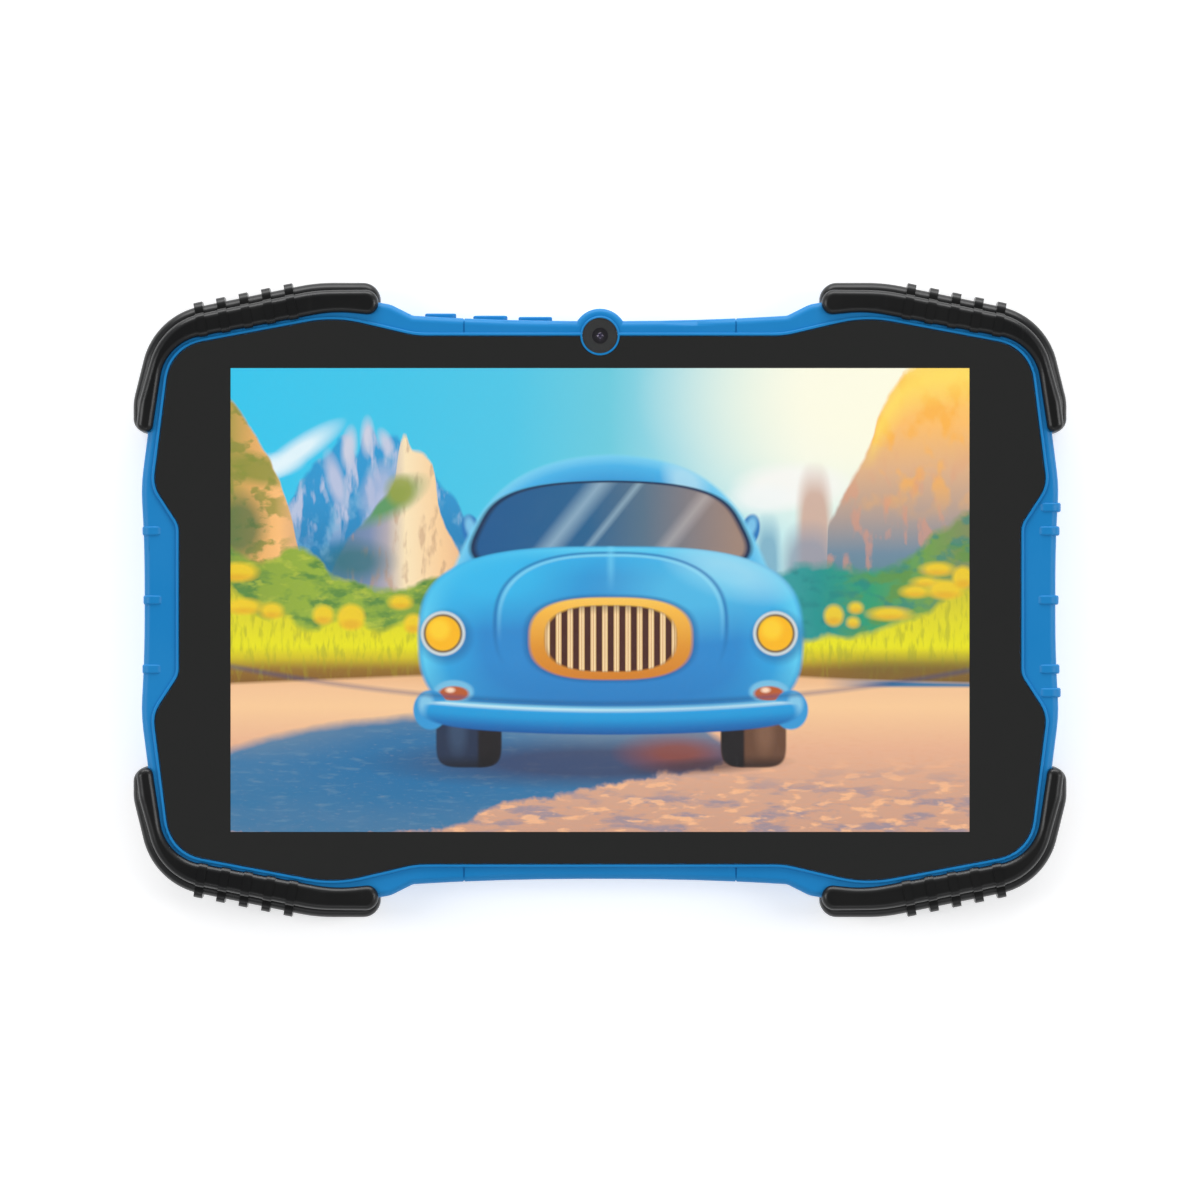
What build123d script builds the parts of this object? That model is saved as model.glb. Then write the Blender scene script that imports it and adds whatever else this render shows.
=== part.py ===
"""Rugged eight-inch tablet computer for small children, lying on its back.

+X runs along the long side, +Y towards the long edge that has the camera and the buttons, and +Z
out of the screen. The origin is on the surface that the tablet lies on, under the middle of its box.
"""

import os
from functools import cache
from math import atan2, cos, degrees, sin

from build123d import *

# --- Overall sizes -------------------------------------------------------------------------------
tablet_length = 217.8  # along X, over the rubber bumpers
tablet_width = 148.1  # along Y, over the rubber bumpers
bumper_drop = 1.0  # the bumpers reach this far behind the rear cover, so the tablet lies on them
shell_depth = 14.4  # rear face of the cover to front face of the frame
ridge_rise = 2.0  # front ridge of a bumper above the frame's front face

# --- Shells --------------------------------------------------------------------------------------
shell_waist_inset = 9.0  # the long side is waisted to this depth at its middle
shell_end_waist_inset = 2.7
shell_wall = 2.2
cover_floor = 1.8
split_height = 7.4  # parting line above the cover's rear face
front_edge_round = 1.5
rear_edge_round = 2.6
seam_chamfer = 0.25
lap_height = 0.8  # the cover's inner rim stands this far up into the frame
lap_wall = 1.0
shelf_thickness = 1.6  # inner flange of the frame, which carries the glass
lip_width = 0.65  # bead round the glass
lip_rise = 0.55
lip_round = 0.3
panel_line_x = 31.7  # fine moulded lines that run round the shells from the back to the lip
panel_line_width = 0.35
panel_line_depth = 0.25
grip_rib_width = 2.2
grip_rib_round = 0.45
right_grip_rise = 0.75
left_grip_rise = 0.25
grip_front_rise = 0.3
grip_reach = 3.8  # how far a rib runs in over the front and rear faces
right_grip_places = (-21.6, -16.1, 0.0, 16.1, 21.6)
left_grip_places = (-16.1, 0.0, 16.1)

# --- Bumpers -------------------------------------------------------------------------------------
band_low = 4.2  # under side of the side band above the table
band_height = 9.2
band_round = 2.0
ridge_round = 1.5
bumper_lip_gap = 0.5  # groove between a bumper's ridge and the lip
bumper_rib_count = 5
bumper_rib_pitch = 5.25  # along the bumper
bumper_rib_width = 2.0
bumper_rib_rise = 1.0
ridge_rib_rise = 0.25  # ribs above the crest of the ridge
first_rib_inset = 15.2  # last rib to the end of the tablet, along X

# --- Glass and display ---------------------------------------------------------------------------
glass_thickness = 1.1
ink_thickness = 0.08
gasket_thickness = 0.2
view_length = 172.2  # lit picture
view_width = 108.1
panel_border_x, panel_border_y = 5.9, 3.45  # dark border of the display module round the lit picture
cell_thickness = 1.0
cell_border = 0.8  # the cell stops this far inside its tray, clear of the camera ring
backlight_thickness = 1.7
mid_plate_thickness = 0.5
plate_screw_outset_x, plate_screw_outset_y = 3.4, 3.0  # plate screws beyond the display module
plate_screw_x, plate_screw_y = 20.0, 40.0  # along the module's sides
plate_ear_radius, plate_ear_length = 2.2, 16.0
display_flex_y, display_flex_width = -8.0, 30.0
touch_flex_y, touch_flex_width = -30.0, 12.0
flex_slot_margin = 1.5  # room beside a ribbon in its slot
flex_thickness = 0.12

# --- Front camera --------------------------------------------------------------------------------
camera_inset = 12.45  # camera centre in from the long edge
camera_bump_radius = 6.35
camera_bump_height = 6.2
camera_bump_round = 1.2
camera_ring_radius = 4.57
camera_window_radius = 4.1
camera_window_thickness = 0.8
camera_module_size = 5.8
camera_module_height = 2.6
camera_barrel_radius = 2.3
camera_lens_radius = 1.87

# --- Buttons -------------------------------------------------------------------------------------
button_height = 2.4
button_proud = 0.95
button_travel = 0.4
button_flange_extra = 0.9  # flange beyond the cap at each end
button_flange_thickness = 0.8
button_nub = 0.5
power_x, power_width = -37.2, 7.3
volume_down_x, volume_down_width = -25.6, 8.0
volume_up_x, volume_up_width = -15.1, 7.9
switch_width = 3.6
switch_height = 2.0
switch_depth = 1.5
switch_stem = 0.4
button_board_thickness = 0.6
button_board_end = 2.0  # board beyond the outer buttons
board_rib_thickness = 0.7

# --- Ports in the left end -----------------------------------------------------------------------
usb_y, usb_width, usb_height, usb_length = -8.0, 9.0, 3.2, 7.4
usb_wall = 0.3
usb_tongue_width, usb_tongue_thickness = 6.6, 0.7
jack_y, jack_bore_radius, jack_width, jack_length = 8.0, 1.8, 6.0, 12.0
jack_body_height = 5.2
jack_back_wall = 0.8
card_y, card_width, card_height, card_length = 26.0, 12.6, 1.5, 14.5
card_slot_height = 0.9
port_hole_radius = 3.0
microphone_y = -24.5
microphone_hole_radius = 0.6

# --- Main board and battery ----------------------------------------------------------------------
board_length, board_width, board_thickness = 50.0, 76.0, 1.0
board_end_gap = 2.6  # left end wall to the board, which the ports bridge
board_notch_margin = 0.3
board_screw_inset = 3.4
flex_socket_height = 0.95
battery_plug_y = 16.0
battery_cell_length, battery_cell_width, battery_thickness = 56.0, 84.0, 4.4
battery_gap = 1.2
battery_y = 2.5
battery_board_gap = 8.4  # main board to the first cell, where the wires run
battery_tape_thickness = 0.2
protection_board_depth = 3.6
lead_pitch = 1.3  # between the two wires of a pair
speaker_length, speaker_width, speaker_depth = 34.0, 15.0, 4.6
speaker_inset_x, speaker_inset_y = 34.9, 24.05  # speaker centre in from the end and the long edge
speaker_slot_count, speaker_slot_length, speaker_slot_width, speaker_slot_pitch = 9, 7.0, 1.3, 2.7
rear_camera_inset_x, rear_camera_inset_y = 28.9, 21.05
rear_camera_hole_radius = 4.0
rear_camera_ring_width = 1.3
rear_camera_ring_proud = 0.6
rear_camera_module_size = 8.4

# --- Fasteners -----------------------------------------------------------------------------------
case_screw_radius, case_screw_head_radius, case_screw_head_height = 1.0, 1.9, 1.2
case_screw_sink = 3.0  # head seat above the rear face
case_post_radius = 3.1
case_screw_drive = 0.9
corner_screw_inset_x, corner_screw_inset_y = 13.6, 18.4
side_screw_inset_x, side_screw_inset_y = 54.6, 12.0
small_screw_radius, small_screw_head_radius, small_screw_head_height = 0.8, 1.5, 0.7
small_screw_drive = 0.7
small_boss_radius = 2.0

# --- Clearances ----------------------------------------------------------------------------------
seat_gap = 0.05  # between pieces that are fixed together
glass_gap = 0.1  # glass to lip
slide_gap = 0.15  # button to its slot
part_gap = 0.3  # loose inner pieces to the shells
port_gap = 0.2  # sockets to the end wall
screw_gap = 0.1

# --- Levels worked out from the sizes ------------------------------------------------------------
end_x = tablet_length / 2
side_y = tablet_width / 2
panel_length = view_length + 2 * panel_border_x  # outside of the display module
panel_width = view_width + 2 * panel_border_y
camera_y = side_y - camera_inset
speaker_x, speaker_y = end_x - speaker_inset_x, speaker_inset_y - side_y
rear_camera_x, rear_camera_y = end_x - rear_camera_inset_x, side_y - rear_camera_inset_y
rear_z = bumper_drop
floor_z = rear_z + cover_floor
split_z = rear_z + split_height
front_z = rear_z + shell_depth
lip_z = front_z + lip_rise
ridge_z = front_z + ridge_rise
glass_z = front_z - glass_thickness  # underside of the glass
seat_z = glass_z - gasket_thickness  # shelf that the glass is stuck to
shelf_z = seat_z - shelf_thickness  # underside of the shelf
cell_z = glass_z - ink_thickness - cell_thickness
backlight_z = cell_z - backlight_thickness
mid_plate_z = backlight_z - mid_plate_thickness
port_z = split_z  # every port is centred on the parting line
board_top_z = port_z - usb_height / 2
board_z = board_top_z - board_thickness
battery_z = mid_plate_z - battery_tape_thickness - battery_thickness
button_z = (shelf_z + split_z + lap_height) / 2
port_wall_x = shell_end_waist_inset + shell_wall - end_x  # inner face of the left end wall, at its middle
port_face_x = port_wall_x + port_gap  # mouths of the sockets
board_left = port_wall_x + board_end_gap
board_right = board_left + board_length
board_mid_x = board_left + board_length / 2
battery_left = board_right + battery_board_gap
head_seat_z = rear_z + case_screw_sink

# --- Outlines: corners given by distance in from the end, in from the long side, and radius --------
shell_corners = (
    (65.3, 7.75, 2.0),
    (60.1, 5.15, 6.0),
    (46.1, 2.75, 30.0),
    (7.6, 10.45, 13.7),
    (3.5, 27.55, 10.0),
    (3.45, 35.55, 10.0),
    (1.9, 47.55, 40.0),
)
glass_corners = (
    (66.0, 12.5, 20.0),
    (47.0, 8.05, 30.0),
    (8.85, 15.21, 10.0),
    (4.83, 47.41, 7.5),
    (10.8, 56.6, 5.0),
)
bumper_corners = (  # side band, closed well inside the glass
    (57.6, 6.35, 3.0),
    (57.7, 0.0, 4.0),
    (42.55, 0.0, 40.0),
    (4.9, 7.65, 17.0),
    (0.0, 27.55, 12.0),
    (0.0, 33.65, 3.4),
    (5.0, 36.55, 2.8),
    (6.9, 31.05, 3.0),
    (30.0, 30.0, 3.0),
    (51.0, 8.75, 5.0),
)
ridge_corners = (  # outer side and tips of the ridge, which nearly meets the band at the tips
    (57.3, 7.85, 2.6),
    (57.2, 1.75, 3.0),
    (42.7, 1.9, 40.0),
    (6.7, 9.25, 15.5),
    (1.6, 27.65, 11.0),
    (0.75, 34.3, 1.85),
    (4.5, 35.5, 1.7),
)


def symmetric_face(corners):
    """Face whose first-quadrant corners, from the middle of the top edge, are mirrored to all four."""
    right = list(corners) + [(x, -y, radius) for x, y, radius in reversed(corners)]
    loop = right + [(-x, y, radius) for x, y, radius in reversed(right)]
    points = [(x, y) for x, y, radius in loop]
    return make_face(FilletPolyline(*points, radius=[radius for *point, radius in loop], close=True))


def from_corner(insets):
    """Corners in X and Y from their insets."""
    return [(end_x - inset_x, side_y - inset_y, radius) for inset_x, inset_y, radius in insets]


def waist_radius(along, depth):
    """Radius that rounds the corner half way along a waisted side over most of both its runs."""
    turn = atan2(depth, along / 2)
    return 0.42 * along * 2 / turn


@cache
def shell_face():
    """Outline of the blue shells."""
    corners = from_corner(shell_corners)
    shoulder_x, shoulder_y, _ = corners[0]
    bulge_x, bulge_y, _ = corners[-1]
    waist_y = side_y - shell_waist_inset
    waist_x = end_x - shell_end_waist_inset
    long_waist = (shoulder_x / 2, waist_y, waist_radius(shoulder_x, shoulder_y - waist_y))
    end_waist = (waist_x, bulge_y / 2, waist_radius(bulge_y, bulge_x - waist_x) * 0.8)
    return symmetric_face([long_waist] + corners + [end_waist])


@cache
def glass_face():
    """Outline of the cover glass."""
    return symmetric_face(from_corner(glass_corners))


@cache
def bumper_face():
    """Plan of the bumper round the +X +Y corner, closed well inside the glass."""
    corners = from_corner(bumper_corners)
    points = [(x, y) for x, y, radius in corners]
    return make_face(FilletPolyline(*points, radius=[radius for *point, radius in corners], close=True))


def slab(face, low, high):
    """Solid of a flat face between two levels."""
    return Pos(0, 0, low) * extrude(face, high - low)


def grown(face, amount):
    """Face with its outline moved outwards, or inwards by a negative amount."""
    return offset(face, amount, kind=Kind.INTERSECTION) if amount else face


def block(x_span, y_span, z_span):
    """Box between two values on each axis."""
    sizes = [span[1] - span[0] for span in (x_span, y_span, z_span)]
    middle = [(span[1] + span[0]) / 2 for span in (x_span, y_span, z_span)]
    return Pos(*middle) * Box(*sizes)


def centred(size, middle=0.0):
    """Span of a size about a middle."""
    return (middle - size / 2, middle + size / 2)


def upright(radius, low, high, x=0.0, y=0.0):
    """Cylinder along Z between two levels."""
    return Pos(x, y, low) * extrude(Circle(radius), high - low)


def level_edges(solid, level, nearest=0.01):
    """Edges of a solid that lie at one level."""
    return [edge for edge in solid.edges() if max(abs(edge.bounding_box().min.Z - level),
                                                  abs(edge.bounding_box().max.Z - level)) < nearest]


def four_corners(x, y):
    """A point and its three mirror images."""
    return [(sx * x, sy * y) for sx in (-1, 1) for sy in (-1, 1)]


@cache
def long_edge_y(x):
    """Y of the shell's long edge at X."""
    probe = block(centred(0.02, x), (0, tablet_width), (0, 1)) & slab(shell_face(), 0, 1)
    return probe.bounding_box().max.Y


# --- Shells --------------------------------------------------------------------------------------
@cache
def shell_block(clearance=0.0):
    """Outside of the two shells together, with their rounded edges."""
    face = grown(shell_face(), clearance)
    low, high = rear_z - clearance, front_z + clearance
    solid = slab(face, low, high)
    solid = fillet(level_edges(solid, high), front_edge_round + clearance)
    return fillet(level_edges(solid, low), rear_edge_round + clearance)


@cache
def end_edge_x(y):
    """Where the waisted end of the shells lies at a height across the tablet."""
    probe = block((0, end_x), centred(0.02, y), (0, 1))
    return (slab(shell_face(), 0, 1) & probe).bounding_box().max.X


def grip_rib(side, y, rise):
    """Moulded rib that wraps an end of the shells from the front face to the rear face."""
    edge = end_edge_x(y)
    outer = edge + rise
    inner = edge - grip_reach
    root = inner - 2 * grip_front_rise
    top, bottom = front_z + grip_front_rise, rear_z - grip_front_rise
    points = ((root, front_z - grip_front_rise), (inner, top), (outer, top))
    points += ((outer, bottom), (inner, bottom), (root, rear_z + grip_front_rise))
    corner = front_edge_round + rise
    path = FilletPolyline(*points, radius=[0, 2.0, corner, rear_edge_round + rise, 2.0, 0], close=True)
    rib = extrude(Plane.XZ * make_face(path), grip_rib_width / 2, both=True)
    sides = [edge for face in rib.faces().filter_by(Axis.Y) for edge in face.edges()]
    rib = Pos(0, y, 0) * fillet([edge for edge in sides if edge.center().X > root + 0.01], grip_rib_round)
    return rib if side > 0 else mirror(rib, Plane.YZ)


@cache
def shells_solid():
    """Both shells as one solid block, with grip ribs and fine panel lines."""
    solid = shell_block()
    for y in right_grip_places:
        solid += grip_rib(1, y, right_grip_rise)
    for y in left_grip_places:
        solid += grip_rib(-1, y, left_grip_rise)
    depth = panel_line_depth
    inner = slab(grown(shell_face(), -depth), rear_z + depth, front_z - depth)
    for x in (-panel_line_x, panel_line_x):
        line = block(centred(panel_line_width, x), (-side_y, side_y), (0, front_z + 1))
        solid -= line - inner
    return solid


@cache
def cavity_face():
    """Outline of the hollow inside the shells."""
    return grown(shell_face(), -shell_wall)


def screw_places():
    """Centres of the case screws."""
    corner = four_corners(end_x - corner_screw_inset_x, side_y - corner_screw_inset_y)
    side = four_corners(end_x - side_screw_inset_x, side_y - side_screw_inset_y)
    return corner + side


def plate_screw_places():
    """Centres of the screws that hold the mid plate to the frame."""
    end_places = four_corners(panel_length / 2 + plate_screw_outset_x, plate_screw_y)
    side_level = -panel_width / 2 - plate_screw_outset_y
    return end_places + [(x, side_level) for x in (-plate_screw_x, plate_screw_x)]


def board_screw_pair(x):
    """A board screw near each long edge of the main board."""
    y = board_width / 2 - board_screw_inset
    return [(x, -y), (x, y)]


def board_post_places():
    """Centres of the two frame posts under the port edge of the main board."""
    return board_screw_pair(board_left + board_screw_inset)


def board_stud_places():
    """Centres of the two studs on the mid plate that carry the board's inner edge."""
    return board_screw_pair(board_right - board_screw_inset)


def port_cuts():
    """Openings in the left end wall for the three sockets and the microphone."""
    wall = (-end_x - 1, port_wall_x + 1.5)
    lead_in = 0.25
    usb = block(wall, centred(usb_width + 2 * lead_in, usb_y), centred(usb_height + 2 * lead_in, port_z))
    usb = fillet(usb.edges().filter_by(Axis.X), usb_height / 2)
    jack = Pos(wall[0], jack_y, port_z) * Rot(0, 90, 0)
    jack *= extrude(Circle(port_hole_radius), wall[1] - wall[0])
    card_span = (board_top_z, board_top_z + card_height + lead_in)
    card = block(wall, centred(card_width + 2 * lead_in, card_y), card_span)
    microphone = Pos(wall[0], microphone_y, board_top_z) * Rot(0, 90, 0)
    microphone *= extrude(Circle(microphone_hole_radius), wall[1] - wall[0])
    return [usb, jack, card, microphone]


def button_slots():
    """Openings in the top wall of the frame for the three buttons."""
    cuts = []
    for x, width in button_sizes():
        wall_y = long_edge_y(x)
        cut = block(centred(width + 2 * slide_gap, x), (wall_y - shell_wall - 1, wall_y + 2),
                    centred(button_height + 2 * slide_gap, button_z))
        cuts.append(fillet(cut.edges().filter_by(Axis.Y), button_height / 2))
    return cuts


def button_sizes():
    """Centre along X and width of the buttons."""
    return ((power_x, power_width), (volume_down_x, volume_down_width), (volume_up_x, volume_up_width))


def front_frame():
    """Blue front shell: side wall, shelf for the glass, raised lip and camera surround."""
    solid = shells_solid() & slab(Rectangle(tablet_length * 2, tablet_width * 2), split_z, lip_z + 5)
    solid = chamfer_outer_seam(solid)
    camera_bump = upright(camera_bump_radius, front_z - camera_bump_height, front_z, y=camera_y)
    solid += fillet(camera_bump.edges(), camera_bump_round)
    lip = slab(grown(glass_face(), glass_gap + lip_width), seat_z, lip_z)
    solid += fillet(level_edges(lip, lip_z), lip_round)
    ring_step = upright(camera_ring_radius, seat_z, lip_z, y=camera_y)
    pocket = slab(grown(glass_face(), glass_gap), seat_z, lip_z + 1)
    ring = fillet(level_edges(ring_step, lip_z), lip_round)
    solid = solid - glass_pocket(pocket) + ring
    solid -= slab(cavity_face(), split_z, shelf_z)
    lap_face = grown(shell_face(), lap_wall + seat_gap - shell_wall)
    solid -= slab(lap_face, split_z, split_z + lap_height + seat_gap)
    solid -= camera_cuts()
    for x, y in screw_places():
        solid += post(x, y, case_post_radius, split_z)
    for x, y in plate_screw_places():
        solid += post(x, y, small_boss_radius, mid_plate_z + mid_plate_thickness)
    for x, y in board_post_places():
        solid += post(x, y, small_boss_radius, board_top_z + part_gap)
    solid -= slab(Rectangle(panel_length + 2 * part_gap, panel_width + 2 * part_gap), split_z, seat_z)
    solid = solid & slab(grown(shell_face(), 2 * right_grip_rise), split_z, lip_z) + camera_envelope()
    solid += button_board_rib()
    for x, y in screw_places():
        solid -= upright(case_screw_radius + screw_gap, split_z, shelf_z + 0.4, x, y)
    for x, y in plate_screw_places() + board_post_places():
        solid -= upright(small_screw_radius + screw_gap, board_top_z, shelf_z, x, y)
    for cut in port_cuts() + button_slots() + [touch_flex_slot()]:
        solid -= cut
    return solid


def post(x, y, radius, low):
    """Screw post that hangs from the frame's shelf."""
    return upright(radius, low, seat_z, x, y)


def glass_pocket(pocket):
    """The glass pocket, left solid round the camera ring."""
    return pocket - upright(camera_ring_radius, seat_z - 1, lip_z + 2, y=camera_y)


def camera_envelope():
    """Room that the camera bump takes up outside the outline."""
    return upright(camera_bump_radius, split_z, front_z, y=camera_y)


def camera_cuts():
    """Window pocket, lens hole and module bay of the front camera."""
    window_low = front_z - camera_window_thickness
    cuts = upright(camera_window_radius + seat_gap, window_low, lip_z + 1, y=camera_y)
    cuts += upright(camera_barrel_radius + part_gap, shelf_z - 1, window_low + 1, y=camera_y)
    bay = camera_module_size / 2 + part_gap
    return cuts + block((-bay, bay), (camera_y - bay, camera_y + bay), (split_z, window_low - 0.5))


def chamfer_outer_seam(solid):
    """Small bevel along the parting line, so that the seam shows as a fine groove."""
    return chamfer(level_edges(solid, split_z), seam_chamfer)


def button_board_rib():
    """Rib under the shelf that the button board is stuck to."""
    low_x = power_x - power_width / 2 - button_board_end
    high_x = volume_up_x + volume_up_width / 2 + button_board_end
    board_y = button_board_y()
    return block((low_x, high_x), (board_y - board_rib_thickness, board_y),
                 (button_z - button_height / 2, seat_z))


def touch_flex_slot():
    """Slot in the shelf for the touch panel's ribbon."""
    x = -panel_length / 2 - part_gap
    return block((x - 1.6, x + 1), centred(touch_flex_width + 2 * flex_slot_margin, touch_flex_y),
                 (shelf_z - 1, seat_z + 1))


def rear_cover():
    """Blue rear shell: a tray with screw wells, speaker slots and a camera hole."""
    solid = shells_solid() & slab(Rectangle(tablet_length * 2, tablet_width * 2), -1, split_z)
    solid = chamfer_outer_seam(solid)
    solid -= slab(cavity_face(), floor_z, split_z + 1)
    rim_outer = grown(shell_face(), -(shell_wall - lap_wall))
    solid += slab(rim_outer, split_z - 1, split_z + lap_height) - slab(cavity_face(), floor_z, split_z + 5)
    for x, y in screw_places():
        solid += upright(case_post_radius, floor_z - 1, split_z - seat_gap, x, y) & shells_envelope()
    for x, y in screw_places():
        solid -= upright(case_screw_radius + 2 * screw_gap, rear_z, split_z + 1, x, y)
        solid -= upright(case_screw_head_radius + 2 * screw_gap, 0, head_seat_z, x, y)
        solid -= upright(case_post_radius + part_gap, split_z - seat_gap, split_z + 2, x, y)
    for side in (-1, 1):
        for slot in speaker_slots(side):
            solid -= slot
    solid -= upright(rear_camera_hole_radius, 0, floor_z + 1, rear_camera_x, rear_camera_y)
    for cut in port_cuts():
        solid -= cut
    return solid


def shells_envelope():
    """Outside of both shells, for trimming inner features."""
    return slab(grown(shell_face(), -shell_wall / 2), rear_z, front_z)


def speaker_slots(side):
    """Row of rounded sound slots behind one speaker."""
    first = speaker_x - speaker_slot_pitch * (speaker_slot_count - 1) / 2
    shape = Rot(0, 0, 90) * SlotOverall(speaker_slot_length, speaker_slot_width)
    places = [first + speaker_slot_pitch * index for index in range(speaker_slot_count)]
    return [Pos(side * x, speaker_y, 0) * extrude(shape, floor_z + 1) for x in places]


# --- Bumpers -------------------------------------------------------------------------------------
def moved_out(before, corner, after, distance):
    """Corner of a path after both its runs are moved to the left by a distance."""
    (x0, y0), (x1, y1), (x2, y2) = before, corner, after
    first = atan2(y1 - y0, x1 - x0)
    second = atan2(y2 - y1, x2 - x1)
    middle = (first + second) / 2
    reach = distance / cos((second - first) / 2)
    return (x1 - reach * sin(middle), y1 + reach * cos(middle))


@cache
def ridge_face():
    """Plan of the ridge, whose inner side runs beside the lip of the glass."""
    corners = from_corner(ridge_corners)
    shoulder, long_end, side_end, bite = [(x, y) for x, y, radius in from_corner(glass_corners)[:4]]
    beside = glass_gap + lip_width + bumper_lip_gap
    side_inner = moved_out(long_end, side_end, bite, beside)
    long_inner = moved_out(shoulder, long_end, side_end, beside)
    corners.append((*side_inner, glass_corners[2][2] + beside))
    corners.append((*long_inner, glass_corners[1][2] + beside))
    points = [(x, y) for x, y, radius in corners]
    return make_face(FilletPolyline(*points, radius=[radius for *point, radius in corners], close=True))


def bumper_mass(clearance):
    """Side band and ridges of one bumper, before the shells are cut out of it."""
    plan = grown(bumper_face(), clearance)
    band = slab(plan, band_low - clearance, band_low + band_height + clearance)
    rims = level_edges(band, band_low - clearance) + level_edges(band, band_low + band_height + clearance)
    band = fillet(rims, band_round)
    rise = ridge_rib_rise * clearance / bumper_rib_rise
    low, high = ridge_rib_rise - rise, ridge_z - ridge_rib_rise + rise
    ridge = slab(grown(ridge_face(), rise), low, high)
    ridge = fillet(level_edges(ridge, low) + level_edges(ridge, high), ridge_round)
    return band + ridge


def bumper_ribs():
    """Raised ribs across the outer face of a bumper's long arm."""
    (x0, y0, _), (x1, y1, _) = from_corner(bumper_corners[2:4])
    slope = degrees(atan2(y1 - y0, x1 - x0))
    bars = Part()
    for index in range(bumper_rib_count):
        x = end_x - first_rib_inset - index * bumper_rib_pitch
        y = y0 + (y1 - y0) * (x - x0) / (x1 - x0)
        bar = Box(bumper_rib_width, 16, ridge_z, align=(Align.CENTER, Align.CENTER, Align.MIN))
        bars += Pos(x, y, 0) * Rot(0, 0, slope) * bar
    return bumper_mass(bumper_rib_rise) & bars


def corner_bumper():
    """Rubber bumper clipped over the +X +Y corner."""
    solid = bumper_mass(0) + bumper_ribs()
    solid &= slab(Rectangle(tablet_length * 2, tablet_width * 2), 0, ridge_z)
    solid -= shell_block(seat_gap)
    return solid - slab(grown(glass_face(), glass_gap + lip_width + bumper_lip_gap / 2), -1, ridge_z + 1)


# --- Glass and display ---------------------------------------------------------------------------
def camera_notch(low, high):
    """Bite that the glass and its print leave for the camera ring."""
    return upright(camera_ring_radius + glass_gap, low, high, y=camera_y)


def touch_glass():
    """Cover glass with its touch sensor."""
    glass = slab(glass_face(), glass_z, front_z)
    return chamfer(level_edges(glass, front_z), 0.15) - camera_notch(0, lip_z)


def glass_border_print():
    """Black border printed on the underside of the glass, open over the picture."""
    low = glass_z - ink_thickness
    border = slab(grown(glass_face(), -0.2), low, glass_z)
    border -= slab(Rectangle(view_length, view_width), low - 1, glass_z + 1)
    return border - camera_notch(0, lip_z)


def glass_gasket():
    """Adhesive frame between the glass and the shelf."""
    inner = Rectangle(panel_length + 2 * part_gap + 0.4, panel_width + 2 * part_gap + 0.4)
    frame = slab(grown(glass_face(), -0.4), seat_z, glass_z - ink_thickness) - slab(inner, 0, lip_z)
    x = -panel_length / 2 - part_gap
    ribbon_span = centred(touch_flex_width + 2 * flex_slot_margin, touch_flex_y)
    ribbon_gap = block((x - 2, x + 2), ribbon_span, (0, lip_z))
    camera_gap = upright(camera_ring_radius + 0.4, 0, lip_z, y=camera_y)
    return frame - ribbon_gap - camera_gap


def lcd_cell():
    """Liquid-crystal cell that shows the picture."""
    outline = Rectangle(panel_length - 2 * cell_border, panel_width - 2 * cell_border)
    return slab(outline, cell_z, cell_z + cell_thickness)


def backlight_unit():
    """Light guide and diffusers in their pressed tray."""
    tray = slab(Rectangle(panel_length, panel_width), backlight_z, cell_z)
    return fillet(tray.edges().filter_by(Axis.Z), 0.8)


def mid_plate():
    """Pressed steel plate behind the display, screwed to the frame."""
    high = mid_plate_z + mid_plate_thickness
    plate = slab(Rectangle(panel_length - 6, panel_width - 1), mid_plate_z, high)
    ear = slab(SlotCenterToCenter(plate_ear_length, 2 * plate_ear_radius), mid_plate_z, high)
    half_ear = plate_ear_length / 2
    for x, y in plate_screw_places():
        if abs(x) > panel_length / 2:
            plate += Pos(x - half_ear if x > 0 else x + half_ear, y, 0) * ear
        else:
            plate += Pos(x, y + half_ear, 0) * Rot(0, 0, 90) * ear
    for x, y in plate_screw_places():
        plate -= upright(small_screw_radius + screw_gap, 0, high + 1, x, y)
    for x, y in board_stud_places():
        plate -= upright(small_boss_radius + seat_gap, 0, high + 1, x, y)
    ribbon_span = centred(display_flex_width + 2 * flex_slot_margin, display_flex_y)
    return plate - block(display_flex_span(), ribbon_span, (0, high + 1))


def display_flex_span():
    """Slot in the mid plate for the display ribbon, along X."""
    return (display_flex_x() - 2.0, display_flex_x() + 7.0)


def display_flex_x():
    """Where the display ribbon passes down through the mid plate."""
    return board_right - 10.0


def display_flex():
    """Ribbon from the display, down through the mid plate to the main board."""
    x = display_flex_x()
    top = backlight_z - 0.08
    low = board_top_z + flex_socket_height + 0.1
    points = ((x + 6, top), (x, top), (x, low), (x - 8, low))
    line = FilletPolyline(*points, radius=0.6)
    ribbon = extrude(Plane.XZ * thicken_line(line, flex_thickness), display_flex_width / 2, both=True)
    return Pos(0, display_flex_y, 0) * ribbon


def thicken_line(line, thickness):
    """Flat strip of even thickness along a bent line."""
    return make_face(offset(line, thickness / 2, side=Side.BOTH))


# --- Front camera --------------------------------------------------------------------------------
def camera_window():
    """Round window over the front camera."""
    disc = upright(camera_window_radius, front_z - camera_window_thickness, front_z, y=camera_y)
    return chamfer(level_edges(disc, front_z), 0.15)


def front_camera():
    """Camera module with its lens barrel."""
    top = front_z - camera_window_thickness
    base_top = top - 0.9
    body = block(centred(camera_module_size), centred(camera_module_size, camera_y),
                 (base_top - camera_module_height, base_top))
    barrel = upright(camera_barrel_radius, base_top, top - seat_gap, y=camera_y)
    bore = upright(camera_lens_radius + seat_gap, base_top, top, y=camera_y)
    return body + barrel - bore


def front_camera_lens():
    """Front element of the camera lens."""
    base = front_z - camera_window_thickness - 0.9
    disc = upright(camera_lens_radius, base, base + 0.6, y=camera_y)
    return fillet(level_edges(disc, base + 0.6), 0.25)


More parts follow.
